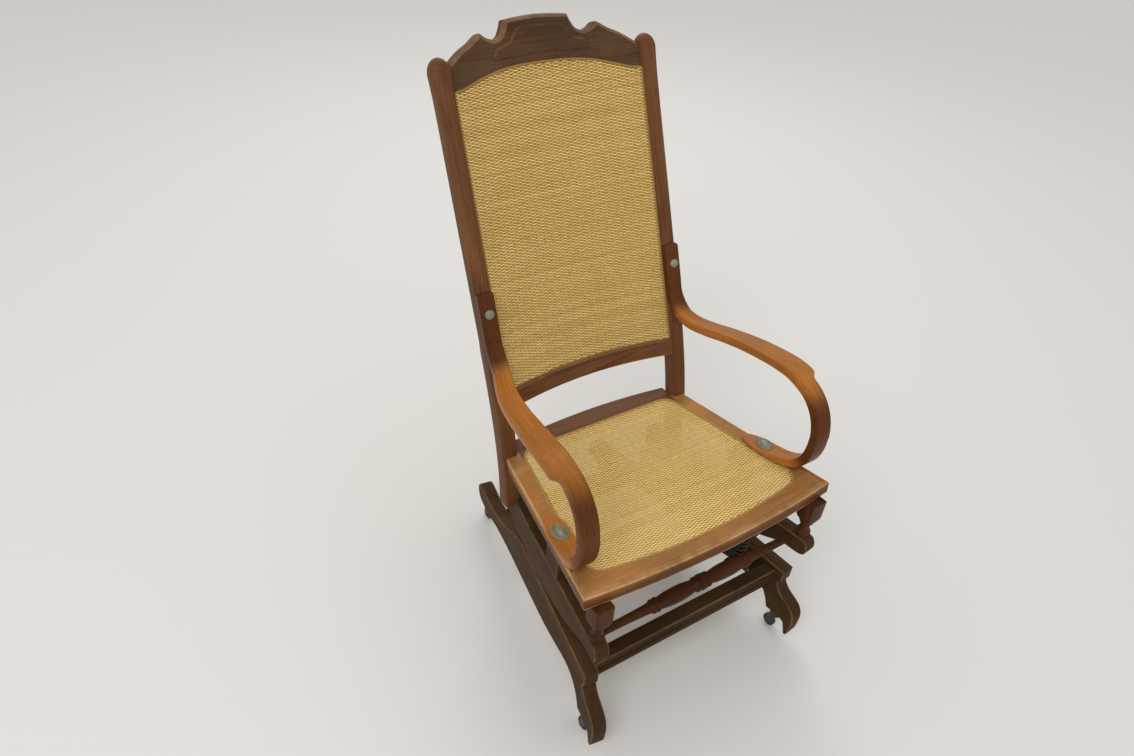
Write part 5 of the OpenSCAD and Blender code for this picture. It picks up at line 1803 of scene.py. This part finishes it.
@dataclass
class BackFrame(Assembly):
    """The shaped crest with its raised panel, and the cross rail under the back cane."""

    cross_h: float = 35
    cross_t: float = 22
    cross_drop: float = 120
    cross_setback: float = 2
    cross_crown: float = 6
    cross_front_r: float = 4
    cross_rear_r: float = 3
    panel_w: float = 97
    panel_h: float = 56
    panel_foot_v: float = 487
    panel_t: float = 4
    bend_step: float = 9.5
    crest_round: tuple = ((7.5, 0), (6.2, 1.4), (3.4, 3.6), (1.2, 6.2), (0, 9))
    crest_rear: tuple = ((0, 4), (1.2, 1.2), (4, 0))
    bevel: tuple = ((4.2, 0), (3.4, 0.25), (1, 2.4), (0, 3.2), (0, 4))
    top_shares: tuple = (
        (1, 0.4), (0.858, 0.57), (0.732, 0.679), (0.616, 0.795), (0.547, 0.732), (0.484, 0.696),
        (0.437, 0.705), (0.395, 0.759), (0.358, 0.866),
    )
    arch_shares: tuple = ((0.337, 0.955), (0.253, 0.973), (0.13, 0.99), (0, 1))
    low_shares: tuple = ((1, 0.009), (0.874, 0.045), (0.7, 0.143), (0.474, 0.241), (0.242, 0.286), (0, 0.295))
    panel_top_shares: tuple = (
        (1, 0.06), (0.99, 0.232), (0.928, 0.411), (0.835, 0.464), (0.722, 0.518), (0.608, 0.625),
        (0.515, 0.875), (0.402, 0.964), (0, 1),
    )
    panel_low_shares: tuple = ((1, 0), (0.67, 0.089), (0.237, 0.161), (0, 0.17))

    def crest_low(self) -> Outline:
        """Half of the crest's lower edge, from the post to the middle."""
        plan = self.plan
        return smooth(scaled(self.low_shares, plan.back_w / 2, plan.crest_h, (0, plan.crest_foot_v)), 3)

    def crest(self) -> None:
        """Makes the crest rail, with a broad round along its shaped top."""
        plan = self.plan
        size = (plan.back_w / 2, plan.crest_h, (0, plan.crest_foot_v))
        half = [*smooth(scaled(self.top_shares, *size), 4), *smooth(scaled(self.arch_shares, *size), 3)]
        top, low = both_halves(half), both_halves(self.crest_low())
        outline = [*top, *low[::-1]]
        shares = [1.0] * (len(top) - 1) + [0.0] + [0.1] * (len(low) - 1) + [0.0]
        front, back = plan.crest_front_w, plan.crest_front_w + plan.crest_t
        profile = [(inset, front + depth) for inset, depth in self.crest_round]
        profile += [(inset, back - depth) for inset, depth in self.crest_rear]
        form = Form().plate(outline, profile, shares).cut_across(plan.back_w / 2, self.bend_step)
        form.finished("shaped_crest", plan.on_bow, self.finishes.crest, "chair", "crest_rail")

    def panel(self) -> None:
        """Makes the raised panel on the crest, with bevelled edges."""
        plan = self.plan
        at = (0, self.panel_foot_v)
        top = both_halves(smooth(scaled(self.panel_top_shares, self.panel_w, self.panel_h, at), 3))
        low = both_halves(scaled(self.panel_low_shares, self.panel_w, self.panel_h, at))
        outline = [*top, *low[::-1][1:-1]]
        front = plan.crest_front_w - self.panel_t
        profile = [(inset, front + depth) for inset, depth in self.bevel]
        form = Form().plate(outline, profile).cut_across(self.panel_w, self.bend_step)
        form.finished("raised_crest_panel", plan.on_bow, self.finishes.panel, "chair", "crest_panel")

    def crowned(self, v: float) -> Outline:
        """A slightly crowned line from right to left, at a height along the back."""
        return [(t * self.plan.back_w / 2, v + self.cross_crown * (1 - t * t)) for t in even(1, -1, 24)]

    def cross_rail(self) -> None:
        """Makes the cross rail."""
        plan = self.plan
        top, low = self.crowned(self.cross_h - self.cross_drop), self.crowned(-self.cross_drop)
        outline = [*top, *low[::-1]]
        shares = [1.0] * (len(top) - 1) + [0.0] + [1.0] * (len(low) - 1) + [0.0]
        edge = rounded(self.cross_setback, self.cross_setback + self.cross_t, self.cross_front_r, self.cross_rear_r)
        form = Form().plate(outline, edge, shares)
        form.finished("bowed_cross_rail", plan.on_bow, self.finishes.red, "chair", "cross_rail", slot=Slot.DARK_WOOD)

    def opening(self, shrink: float) -> Outline:
        """The back cane's outline, drawn in all round."""
        narrow = 1 - 2 * shrink / self.plan.back_w
        top = [(x * narrow, v - shrink) for x, v in both_halves(self.crest_low())]
        low = [(x * narrow, v + shrink) for x, v in self.crowned(self.cross_h - self.cross_drop)]
        return [*top, *low[::-1]]

    def build(self) -> None:
        """Makes crest, panel and cross rail."""
        self.crest()
        self.panel()
        self.cross_rail()


@dataclass
class Weave(Assembly):
    """Close woven cane: packed strands that pass over and under upright stakes, held by a spline."""

    seat: SeatFrame
    back: BackFrame
    row_pitch: float = 2.8
    stake_pitch: float = 8.5
    wave: float = 0.85
    strand_r: float = 0.95
    strand_w: float = 1.72
    samples: int = 6
    stake_r: float = 0.8
    jitter: float = 0.12
    seed: int = 7
    seat_sink: float = 1.2
    cane_t: float = 2.6
    spline_w: float = 5
    spline_rise: float = 1
    spline_depth: float = 5.6
    spline_lap: float = 1.5
    short: float = 1.2
    strand_sides: int = 4
    stake_sides: int = 5
    stake_points: int = 40
    spline_sides: int = 10
    spline_points: int = 320

    def cloth(self, wide: float, tall: float, finish: Finish) -> Mesh:
        """A flat rectangle of weave about the origin.

        Args:
            wide: Its width along the strands.
            tall: Its height along the stakes.
            finish: Its finish.

        Returns:
            The mesh, with each strand's own number and how far each point stands out.
        """
        stakes = round(wide / self.stake_pitch) + 1
        rows = round(tall / self.row_pitch) + 1
        tree = Tree(
            "woven_cloth",
            {
                "Rows": rows,
                "Row Pitch": self.row_pitch,
                "Stakes": stakes,
                "Stake Pitch": self.stake_pitch,
                "Wave": self.wave,
                "Strand Radius": self.strand_r,
                "Strand Width": self.strand_w,
                "Samples": self.samples * (stakes - 1) // 2 + 1,
                "Stake Radius": self.stake_r,
                "Jitter": self.jitter,
                "Seed": self.seed,
                "Material": finish.material,
            },
        )
        pitch, step, wave, jitter = (tree.value(label) for label in ("Stake Pitch", "Row Pitch", "Wave", "Jitter"))
        half_w = pitch * (tree.value("Stakes") - 1) / 2
        half_h = step * (tree.value("Rows") - 1) / 2
        line = tree.line(tree.vector(0.0 - half_w), tree.vector(half_w), tree.given["Samples"])
        swing = (tree.parts()[0] * math.pi / pitch).math("COSINE")
        waved = tree.moved(line, Offset=tree.vector(z=swing * wave))
        strand = tree.tube(waved, tree.value("Strand Radius"), self.strand_sides)
        broad = {"Geometry": strand, "Scale": tree.vector(1.0, tree.value("Strand Width"), 1.0)}
        strand = tree.node("GeometryNodeTransform", None, broad)
        places = tree.spaced(tree.given["Rows"], tree.vector(y=0.0 - half_h), tree.vector(y=step))
        reach = {2: 0.0 - jitter, 3: jitter, "Seed": tree.given["Seed"]}
        loose = tree.node("FunctionNodeRandomValue", {"data_type": "FLOAT"}, reach).outputs[1]
        places = tree.moved(places, Offset=tree.vector(y=loose))
        odd = Value(tree, tree.node("GeometryNodeInputIndex")).math("MODULO", 2.0)
        turned = tree.node("FunctionNodeEulerToRotation", None, {0: tree.vector(odd * math.pi)})
        rows_made = tree.copied(places, strand, Rotation=turned)
        own = tree.node("FunctionNodeRandomValue", {"data_type": "FLOAT"}, {2: 0.0, 3: 1.0, "Seed": 3}).outputs[1]
        rows_made = tree.stored(rows_made, "strand", own, "INSTANCE")
        rows_made = tree.stored(rows_made, "row", tree.node("GeometryNodeInputIndex"), "INSTANCE")
        upright_line = tree.line(tree.vector(y=0.0 - half_h), tree.vector(y=half_h), self.stake_points)
        stake = tree.tube(upright_line, tree.value("Stake Radius"), self.stake_sides)
        feet = tree.spaced(tree.given["Stakes"], tree.vector(0.0 - half_w), tree.vector(pitch))
        both = tree.node("GeometryNodeJoinGeometry")
        for source in (rows_made, tree.copied(feet, stake)):
            tree.fill(both.inputs[0], source)
        real = tree.node("GeometryNodeRealizeInstances", None, {0: both})
        # How far a point stands out and faces up; the cane's finish paints shade where this is low.
        crown = tree.parts("GeometryNodeInputNormal")[2] * tree.parts()[2] / wave
        return tree.mesh(tree.stored(real, "crown", crown))

    @staticmethod
    def trimmed(
        mesh: Mesh, shift: tuple[float, float], outline: Outline, low: float = 0, high: float = math.inf
    ) -> Mesh:
        """A copy of a weave that keeps what lies inside an outline and between two heights.

        Args:
            mesh: The weave.
            shift: Where its middle goes.
            outline: What it is trimmed to.
            low: Number of the first strand that is kept.
            high: Number of the first strand that no longer is.

        Returns:
            The trimmed mesh, with its cut ends closed.
        """
        cut = bmesh.new()
        cut.from_mesh(mesh)
        where = np.array([v.co for v in cut.verts], float) + [*shift, 0]
        row = cut.verts.layers.float["row"]
        rows = np.array([v[row] for v in cut.verts])
        kept = inside(where, outline) & (rows >= low) & (rows < high)
        for vert, co in zip(cut.verts, where, strict=True):
            vert.co = co
        doomed = [vert for vert, keep in zip(cut.verts, kept, strict=True) if not keep]
        bmesh.ops.delete(cut, geom=doomed, context="VERTS")
        bmesh.ops.holes_fill(cut, edges=[e for e in cut.edges if e.is_boundary], sides=8)
        made = mesh.copy()
        cut.to_mesh(made)
        cut.free()
        made.attributes.remove(made.attributes["row"])
        return made

    def spline(self, outline: Outline, top: float, finish: Finish) -> Mesh:
        """The cane spline pressed in round an opening.

        Args:
            outline: The line along its middle.
            top: The height of its crown.
            finish: The cane's finish.

        Returns:
            The flat mesh.
        """
        line = bpy.data.meshes.new("spline_line")
        count = len(outline)
        line.from_pydata([(*p, 0.0) for p in outline], [(i, (i + 1) % count) for i in range(count)], [])
        tree = Tree("cane_spline", {"Line": None, "Radius": self.spline_w / 2, "Material": finish.material})
        curve = tree.node("GeometryNodeMeshToCurve", None, {0: tree.given["Line"]})
        curve = tree.counted(curve, self.spline_points)
        made = tree.mesh(tree.tube(curve, tree.value("Radius"), self.spline_sides), line)
        for vert in made.vertices:
            vert.co.z = top + (vert.co.z / self.spline_w - 0.5) * self.spline_depth
        return made

    def laid(self, outline: Outline, finish: Finish) -> tuple[Mesh, tuple[float, float]]:
        """A weave that covers an outline, and where its middle goes."""
        (left, right), (low, high) = ((min(c), max(c)) for c in zip(*outline, strict=True))
        cloth = self.cloth(right - left + 2 * self.stake_pitch, high - low + 2 * self.row_pitch, finish)
        return cloth, (0.0, (high + low) / 2)

    def seat_cane(self) -> None:
        """Makes the seat's weave and its spline."""
        plan, seat, finish = self.plan, self.seat, self.finishes.seat_cane
        outline = seat.opening(-self.gap)
        cloth, middle = self.laid(outline, finish)
        depth = -self.seat_sink - self.cane_t / 2
        mesh = self.trimmed(cloth, middle, outline)
        piece = object_from(mesh, "woven_seat", lambda p: plan.on_seat(p + [0, 0, depth]))
        settled(piece, "chair", Slot.WOVEN_CANE, "seat_cane")
        mesh = self.spline(seat.opening(self.spline_lap - self.spline_w / 2), self.spline_rise, finish)
        piece = object_from(mesh, "seat_spline_cord", plan.on_seat)
        settled(piece, "chair", Slot.WOVEN_CANE, "seat_spline")
        bpy.data.meshes.remove(cloth)

    def back_cane(self) -> None:
        """Makes the back's weave, in an upper and a lower half, and its spline."""
        plan, finish = self.plan, self.finishes.cane
        outline = self.back.opening(self.gap)
        cloth, middle = self.laid(outline, finish)
        heights = [v for _, v in outline]
        seam = round((max(heights) - min(heights)) / self.row_pitch / 2)
        edge = self.back.opening(0)
        edge = drawn_in(edge, [self.spline_w / 2 - self.spline_lap] * len(edge))
        depth, rise = plan.cane_setback + self.cane_t / 2, plan.cane_setback - self.spline_rise
        for name, mesh, sink, node in (
            ("woven_back_lower", self.trimmed(cloth, middle, outline, high=seam), depth, "back_cane"),
            ("woven_back_upper", self.trimmed(cloth, middle, outline, seam), depth, "back_cane"),
            ("back_spline_cord", self.spline(edge, 0.0, finish), rise, "back_spline"),
        ):
            piece = object_from(mesh, name, self.bent(sink))
            settled(piece, "chair", Slot.WOVEN_CANE, node)
        bpy.data.meshes.remove(cloth)

    def bent(self, depth: float) -> Place:
        """The frame that bends a flat piece onto the bow of the back at a depth, its face to the front."""
        return lambda p: self.plan.on_bow(p * [1, 1, -1] + [0, 0, depth])

    @property
    def gap(self) -> float:
        """How far the weave ends inside its opening."""
        return self.plan.run_gap + self.short

    def build(self) -> None:
        """Makes all the cane."""
        self.seat_cane()
        self.back_cane()


@dataclass
class Arms(Assembly):
    """The bentwood arms with their glued strips, bolts, nuts and rosettes."""

    rise: float = 288
    foot_z: float = 411
    corner: float = 4.2
    clearance: float = 0.15
    post_heights: tuple = (107, 45, 12)
    steps: int = 12
    line_shares: tuple = (
        (0.879, 0.608), (0.805, 0.559), (0.709, 0.562), (0.572, 0.604), (0.426, 0.646), (0.265, 0.677),
        (0.177, 0.67), (0.093, 0.625), (0.033, 0.535), (0.002, 0.413), (0, 0.274), (0.026, 0.153),
        (0.088, 0.069), (0.188, 0.024), (0.344, 0),
    )
    thick_shares: tuple = (1,) * 16 + (0.85, 0.3)
    top_plan_shares: tuple = (
        (1.107, 0, 0.427), (0.921, 0, 0.427), (0.851, 0.027, 0.467), (0.784, 0.12, 0.573),
        (0.709, 0.24, 0.707), (0.614, 0.36, 0.827), (0.519, 0.44, 0.907), (0.426, 0.48, 0.96),
        (0.335, 0.507, 0.987), (0.2, 0.52, 1), (-0.056, 0.52, 1),
    )
    low_plan_shares: tuple = (
        (-0.056, 0.52, 1), (0.047, 0.493, 0.973), (0.107, 0.44, 0.933), (0.153, 0.373, 0.893),
        (0.2, 0.32, 0.867), (0.247, 0.28, 0.84), (0.293, 0.267, 0.773), (0.328, 0.32, 0.667), (0.351, 0.44, 0.547),
    )
    strip_shares: tuple = (
        (0.851, 0), (0.784, 0.25), (0.709, 0.35), (0.614, 0.48), (0.519, 0.62), (0.426, 0.74), (0.335, 0.87),
        (0.247, 1), (0.178, 1),
        (0.17, 0.93), (0.163, 0.72), (0.156, 0.4), (0.149, 0.16), (0.14, 0.04), (0.13, 0),
    )
    strip_w: float = 12
    # Share of the lit colours at each step along the arm's line: scuffing on the rest and the foot's top, with painted
    # light on these upward faces and at the bend.
    sun_shares: tuple = (
        (0, 0), (2.5, 0.1), (3.5, 0.75), (5, 1), (8.3, 1), (9.3, 0.85), (10.5, 0.35), (11.5, 0.1), (13.5, 0.1),
        (14.8, 0.8), (16, 1),
    )
    split_share: float = 0.36
    scarf_share: float = 0.1
    groove: float = 0.7
    end_share: float = 0.72
    end_shares: tuple = ((5.0, 0.35), (4.2, 0.66), (2.4, 0.88))
    bolt_rise: float = 73
    bolt_d: float = 18
    bolt_h: float = 6
    bolt_r: float = 4
    bolt_out: float = 2
    bolt_ease: float = 0.8
    bolt_tip_r: float = 0.4
    nut_w: float = 14
    nut_t: float = 6.5
    washer_d: float = 18
    washer_t: float = 1.6
    rosette_l: float = 40
    rosette_w: float = 27
    rosette_h: float = 6
    rosette_foot: float = 12
    rosette_reach_share: float = 0.232
    rosette_shares: tuple = (
        (-2, 1), (0.2, 1), (0.4, 0.96), (0.42, 0.92), (0.26, 0.88), (0.22, 0.74), (0.5, 0.69),
        (0.52, 0.65), (0.3, 0.6), (0.3, 0.52), (0.62, 0.44), (0.86, 0.36), (0.97, 0.24), (1, 0.08),
    )
    beads: int = 26
    bead_r: float = 1.4
    ring_share: float = 0.81
    bead_rise_share: float = 0.3

    def line(self) -> list[tuple[float, float, float]]:
        """The middle line of the bent band from its bolted end to its foot: behind the toes, up, and half thickness."""
        plan = self.plan
        up = (math.sin(plan.recline), math.cos(plan.recline))
        points = [(plan.bend_y + v * up[0], plan.bend_z + v * up[1]) for v in self.post_heights]
        points += scaled(self.line_shares, plan.arm_reach, self.rise, (plan.arm_front_y, self.foot_z))
        line = smooth(points, self.steps)
        made = []
        for i, (y, z) in enumerate(line):
            k = min(i // self.steps, len(self.thick_shares) - 2)
            share = lerp(self.thick_shares[k], self.thick_shares[k + 1], i / self.steps - k)
            made.append((y, z, share * plan.arm_t / 2))
        return made

    def edges(self, y: float, z: float) -> tuple[float, float]:
        """The inner and the outer edge of the band, outwards from the middle of the chair."""
        plan = self.plan
        share = (y - plan.arm_front_y) / plan.arm_reach
        upper = z > self.foot_z + self.split_share * self.rise
        table = self.top_plan_shares[::-1] if upper else self.low_plan_shares
        ys = [row[0] for row in table]
        inner, outer = (float(np.interp(share, ys, [row[c] for row in table])) for c in (1, 2))
        strip = self.strip_shares[::-1]
        wider = float(np.interp(share, *zip(*strip, strict=True), 0, 0)) if upper else 0.0
        return tuple(plan.back_w / 2 + s * plan.arm_spread + w for s, w in ((inner, 0), (outer, wider * self.strip_w)))

    def floor(self, y: float) -> float:
        """Height just over the seat, under which no arm goes."""
        return self.plan.seat_top(y) + self.clearance

    def stations(self) -> list[Station]:
        """The sections of the bent band."""
        line = self.line()
        stations = []
        for i, ((y, z, half), (way, along)) in enumerate(zip(line, runs(line), strict=True)):
            inner, outer = self.edges(y, z)
            sun = float(np.interp(i / self.steps, *zip(*self.sun_shares, strict=True)))
            middle, out = ((inner + outer) / 2, y, z), (0.0, float(-way[1]), float(way[0]))
            half_w = (outer - inner) / 2
            stations.append(Station(middle, (1, 0, 0), out, half_w, half, self.corner, along, sun, self.floor))
        return self.ended(self.scarfed(stations))

    def scarfed(self, stations: list[Station]) -> list[Station]:
        """The same sections, with a fine groove across the band where two lengths are scarfed together."""
        at = int(len(stations) * self.scarf_share)
        s = stations[at]
        way = (0.0, s.out[2], -s.out[1])
        made = []
        for shift, drop in ((-self.groove, 0.0), (0.0, self.groove), (self.groove, 0.0)):
            middle = tuple(m + w * shift for m, w in zip(s.middle, way, strict=True))
            sizes = {"half_w": s.half_w - drop, "half_t": s.half_t - drop, "along": s.along + shift, "floor": None}
            made.append(replace(s, middle=middle, **sizes))
        return [*stations[:at], *made, *stations[at + 1 :]]

    def ended(self, stations: list[Station]) -> list[Station]:
        """The same sections, with the bolted end rounded off."""
        first = stations[0]
        up = (0.0, math.sin(self.plan.recline), math.cos(self.plan.recline))
        top = []
        for shift, size in self.end_shares:
            middle = tuple(m + u * shift for m, u in zip(first.middle, up, strict=True))
            half_w, half_t = first.half_w * lerp(self.end_share, 1, size), first.half_t * size
            sizes = {"half_w": half_w, "half_t": half_t, "along": first.along - shift, "wear": 0.0, "floor": None}
            top.append(replace(first, middle=middle, **sizes))
        return [*top, *stations]

    def arm(self, side: Side) -> None:
        """Makes one bent arm."""
        form = Form().bar(self.stations(), 5)
        form.finished("bent_arm", self.plan.on_side(side), self.finishes.arm, "chair", "arm", "arm_strip", side=side)

    def bolts(self) -> None:
        """Makes the domed bolts through the arms and their nuts behind the posts."""
        plan = self.plan
        x = plan.back_w / 2 + plan.post_w / 2
        face, r, h = -plan.arm_t / 2, self.bolt_d / 2, self.bolt_h
        dome = [(h * math.cos(a), r * math.sin(a)) for a in [math.pi / 2 * (1 - k / 7) for k in range(7)]]
        profile = [(face + self.bolt_tip_r, r), (face, r), *[(face - up, radius) for up, radius in dome[1:]]]
        profile.append((face - h, self.bolt_tip_r))
        back, end = plan.post_d, plan.post_d + self.washer_t + self.nut_t + self.bolt_out
        tail = [(back, self.bolt_r), (end - self.bolt_ease, self.bolt_r), (end, self.bolt_r - self.bolt_ease)]
        low, wide, half = back + self.washer_t, self.washer_d / 2, self.nut_w / 2
        high = low + self.nut_t
        washer = [(back, wide - 0.3), (back + 0.3, wide), (low, wide - 0.2)]
        nut = [(low, half - 0.5), (low + 0.5, half), (high - 0.7, half), (high, half - 1)]
        heads, nuts = Form(), Form()
        for side in Side:
            put = upright(side.value * x, self.bolt_rise)
            heads.turned(profile, put=put).turned(tail, 24, put=put)
            nuts.turned(washer, put=put).turned(nut, 6, put=put)
        heads.finished("domed_arm_bolts", plan.on_back, self.finishes.bronze, "chair", "arm_bolts")
        nuts.finished("hexagon_arm_nuts", plan.on_back, self.finishes.bronze, "chair", "arm_nuts")

    def rosettes(self) -> None:
        """Makes the oval rosettes on the arm feet: a dished border, a ring of beads and a raised boss."""
        plan = self.plan
        y = plan.arm_front_y + self.rosette_reach_share * plan.arm_reach
        x = sum(self.edges(y, self.foot_z)) / 2
        up = self.rosette_foot
        long, squash = self.rosette_l / 2, self.rosette_w / self.rosette_l
        profile = [(up + h * self.rosette_h, r * long) for h, r in self.rosette_shares]
        form = Form()
        spots = []
        along = (y - plan.seat_y) / math.cos(plan.seat_slope)
        for side in Side:
            form.turned(profile, squash=squash, put=upright(side.value * x, along))
            for a in even(0, 2 * math.pi, self.beads)[:-1]:
                u, v = self.ring_share * long * squash * math.cos(a), self.ring_share * long * math.sin(a)
                bead = (side.value * x + u, along + v, up + self.bead_rise_share * self.rosette_h)
                spots.append(plan.on_seat(np.array([bead]))[0])
        form.finished("oval_rosettes", plan.on_seat, self.finishes.bronze, "chair", "arm_rosettes")
        ball = bmesh.new()
        bmesh.ops.create_icosphere(ball, subdivisions=1, radius=self.bead_r * MM)
        turns = [(0.0, 0.0, 0.0)] * len(spots)
        piece = copies_on("rosette_beads", mesh_of("bead", ball), spots, turns, self.finishes.bronze, True)
        settled(piece, "chair", Slot.BRONZE, "arm_rosettes")

    def build(self) -> None:
        """Makes both arms and what fastens them."""
        for side in Side:
            self.arm(side)
        self.bolts()
        self.rosettes()


@dataclass(frozen=True)
class Studio:
    """A pale floor, soft lamps and a camera at the photograph's angle."""

    camera_at: tuple[float, float, float] = (-0.718, -0.918756, 1.461)
    yaw: float = 33.16
    pitch: float = 38.54
    roll: float = -3.65
    focal_px: float = 782.4
    frame_px: float = 1134
    sensor: float = 36
    floor_half: float = 30
    floor_colour: Rgb = (0.72, 0.71, 0.69)
    sky: Rgb = (1.0, 0.985, 0.96)
    sky_strength: float = 0.8
    lamps: tuple = (("key_lamp", (-2.2, -1.4, 3.2), 1.6, 36), ("back_lamp", (1.4, 2.6, 3.0), 1.8, 26))
    aim: tuple[float, float, float] = (0, 0, 0.45)
    floor_roughness: float = 0.85

    def camera(self) -> None:
        """Makes the camera."""
        yaw, pitch, roll = (math.radians(a) for a in (self.yaw, self.pitch, self.roll))
        ahead = Vector((math.sin(yaw) * math.cos(pitch), math.cos(yaw) * math.cos(pitch), -math.sin(pitch)))
        level = Vector((math.cos(yaw), -math.sin(yaw), 0))
        down = ahead.cross(level)
        right = math.cos(roll) * level + math.sin(roll) * down
        down = math.cos(roll) * down - math.sin(roll) * level
        data = bpy.data.cameras.new("camera")
        data.sensor_width = self.sensor
        data.lens = self.focal_px * self.sensor / self.frame_px
        camera = shown("camera", data)
        turn = Matrix((right, -down, -ahead)).transposed()
        camera.matrix_world = Matrix.Translation(self.camera_at) @ turn.to_4x4()
        bpy.context.scene.camera = camera

    def floor(self) -> None:
        """Makes the floor."""
        paint = Paint("pale_floor")
        paint.feed(Base_Color=(*self.floor_colour, 1.0), Roughness=self.floor_roughness)
        mesh = bpy.data.meshes.new("floor")
        h = self.floor_half
        mesh.from_pydata([(-h, -h, 0), (h, -h, 0), (h, h, 0), (-h, h, 0)], [], [(0, 1, 2, 3)])
        mesh.materials.append(paint.material)
        shown("floor", mesh)

    def lamp(self, name: str, at: Sequence[float], size: float, power: float) -> None:
        """Makes a square soft lamp that faces the chair."""
        data = bpy.data.lights.new(name, "AREA")
        data.size = size
        data.energy = power
        lamp = shown(name, data)
        lamp.location = at
        lamp.rotation_euler = (Vector(self.aim) - Vector(at)).to_track_quat("-Z", "Y").to_euler()

    def build(self) -> None:
        """Makes camera, floor, lamps and sky."""
        self.camera()
        self.floor()
        for lamp in self.lamps:
            self.lamp(*lamp)
        world = bpy.data.worlds.new("sky")
        world.use_nodes = True
        graph = Graph(world.node_tree)
        graph.tree.nodes.clear()
        light = graph.node("ShaderNodeBackground", None, {0: (*self.sky, 1.0), 1: self.sky_strength})
        graph.node("ShaderNodeOutputWorld", None, {0: light.outputs[0]})
        bpy.context.scene.world = world
        bpy.context.scene.view_settings.view_transform = "Standard"


def main() -> None:
    """Builds the chair's looks round its frame."""
    logging.basicConfig(level=logging.INFO, format="%(name)s: %(message)s")
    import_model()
    plan = Plan()
    Studio().build()
    finishes = Finishes()
    BaseFrame(plan, finishes).build()
    SpringSet(plan, finishes).build()
    Casters(plan, finishes).build()
    Understructure(plan, finishes).build()
    seat = SeatFrame(plan, finishes)
    seat.build()
    back = BackFrame(plan, finishes)
    back.build()
    Weave(plan, finishes, seat, back).build()
    Arms(plan, finishes).build()


if __name__ == "__main__":
    main()
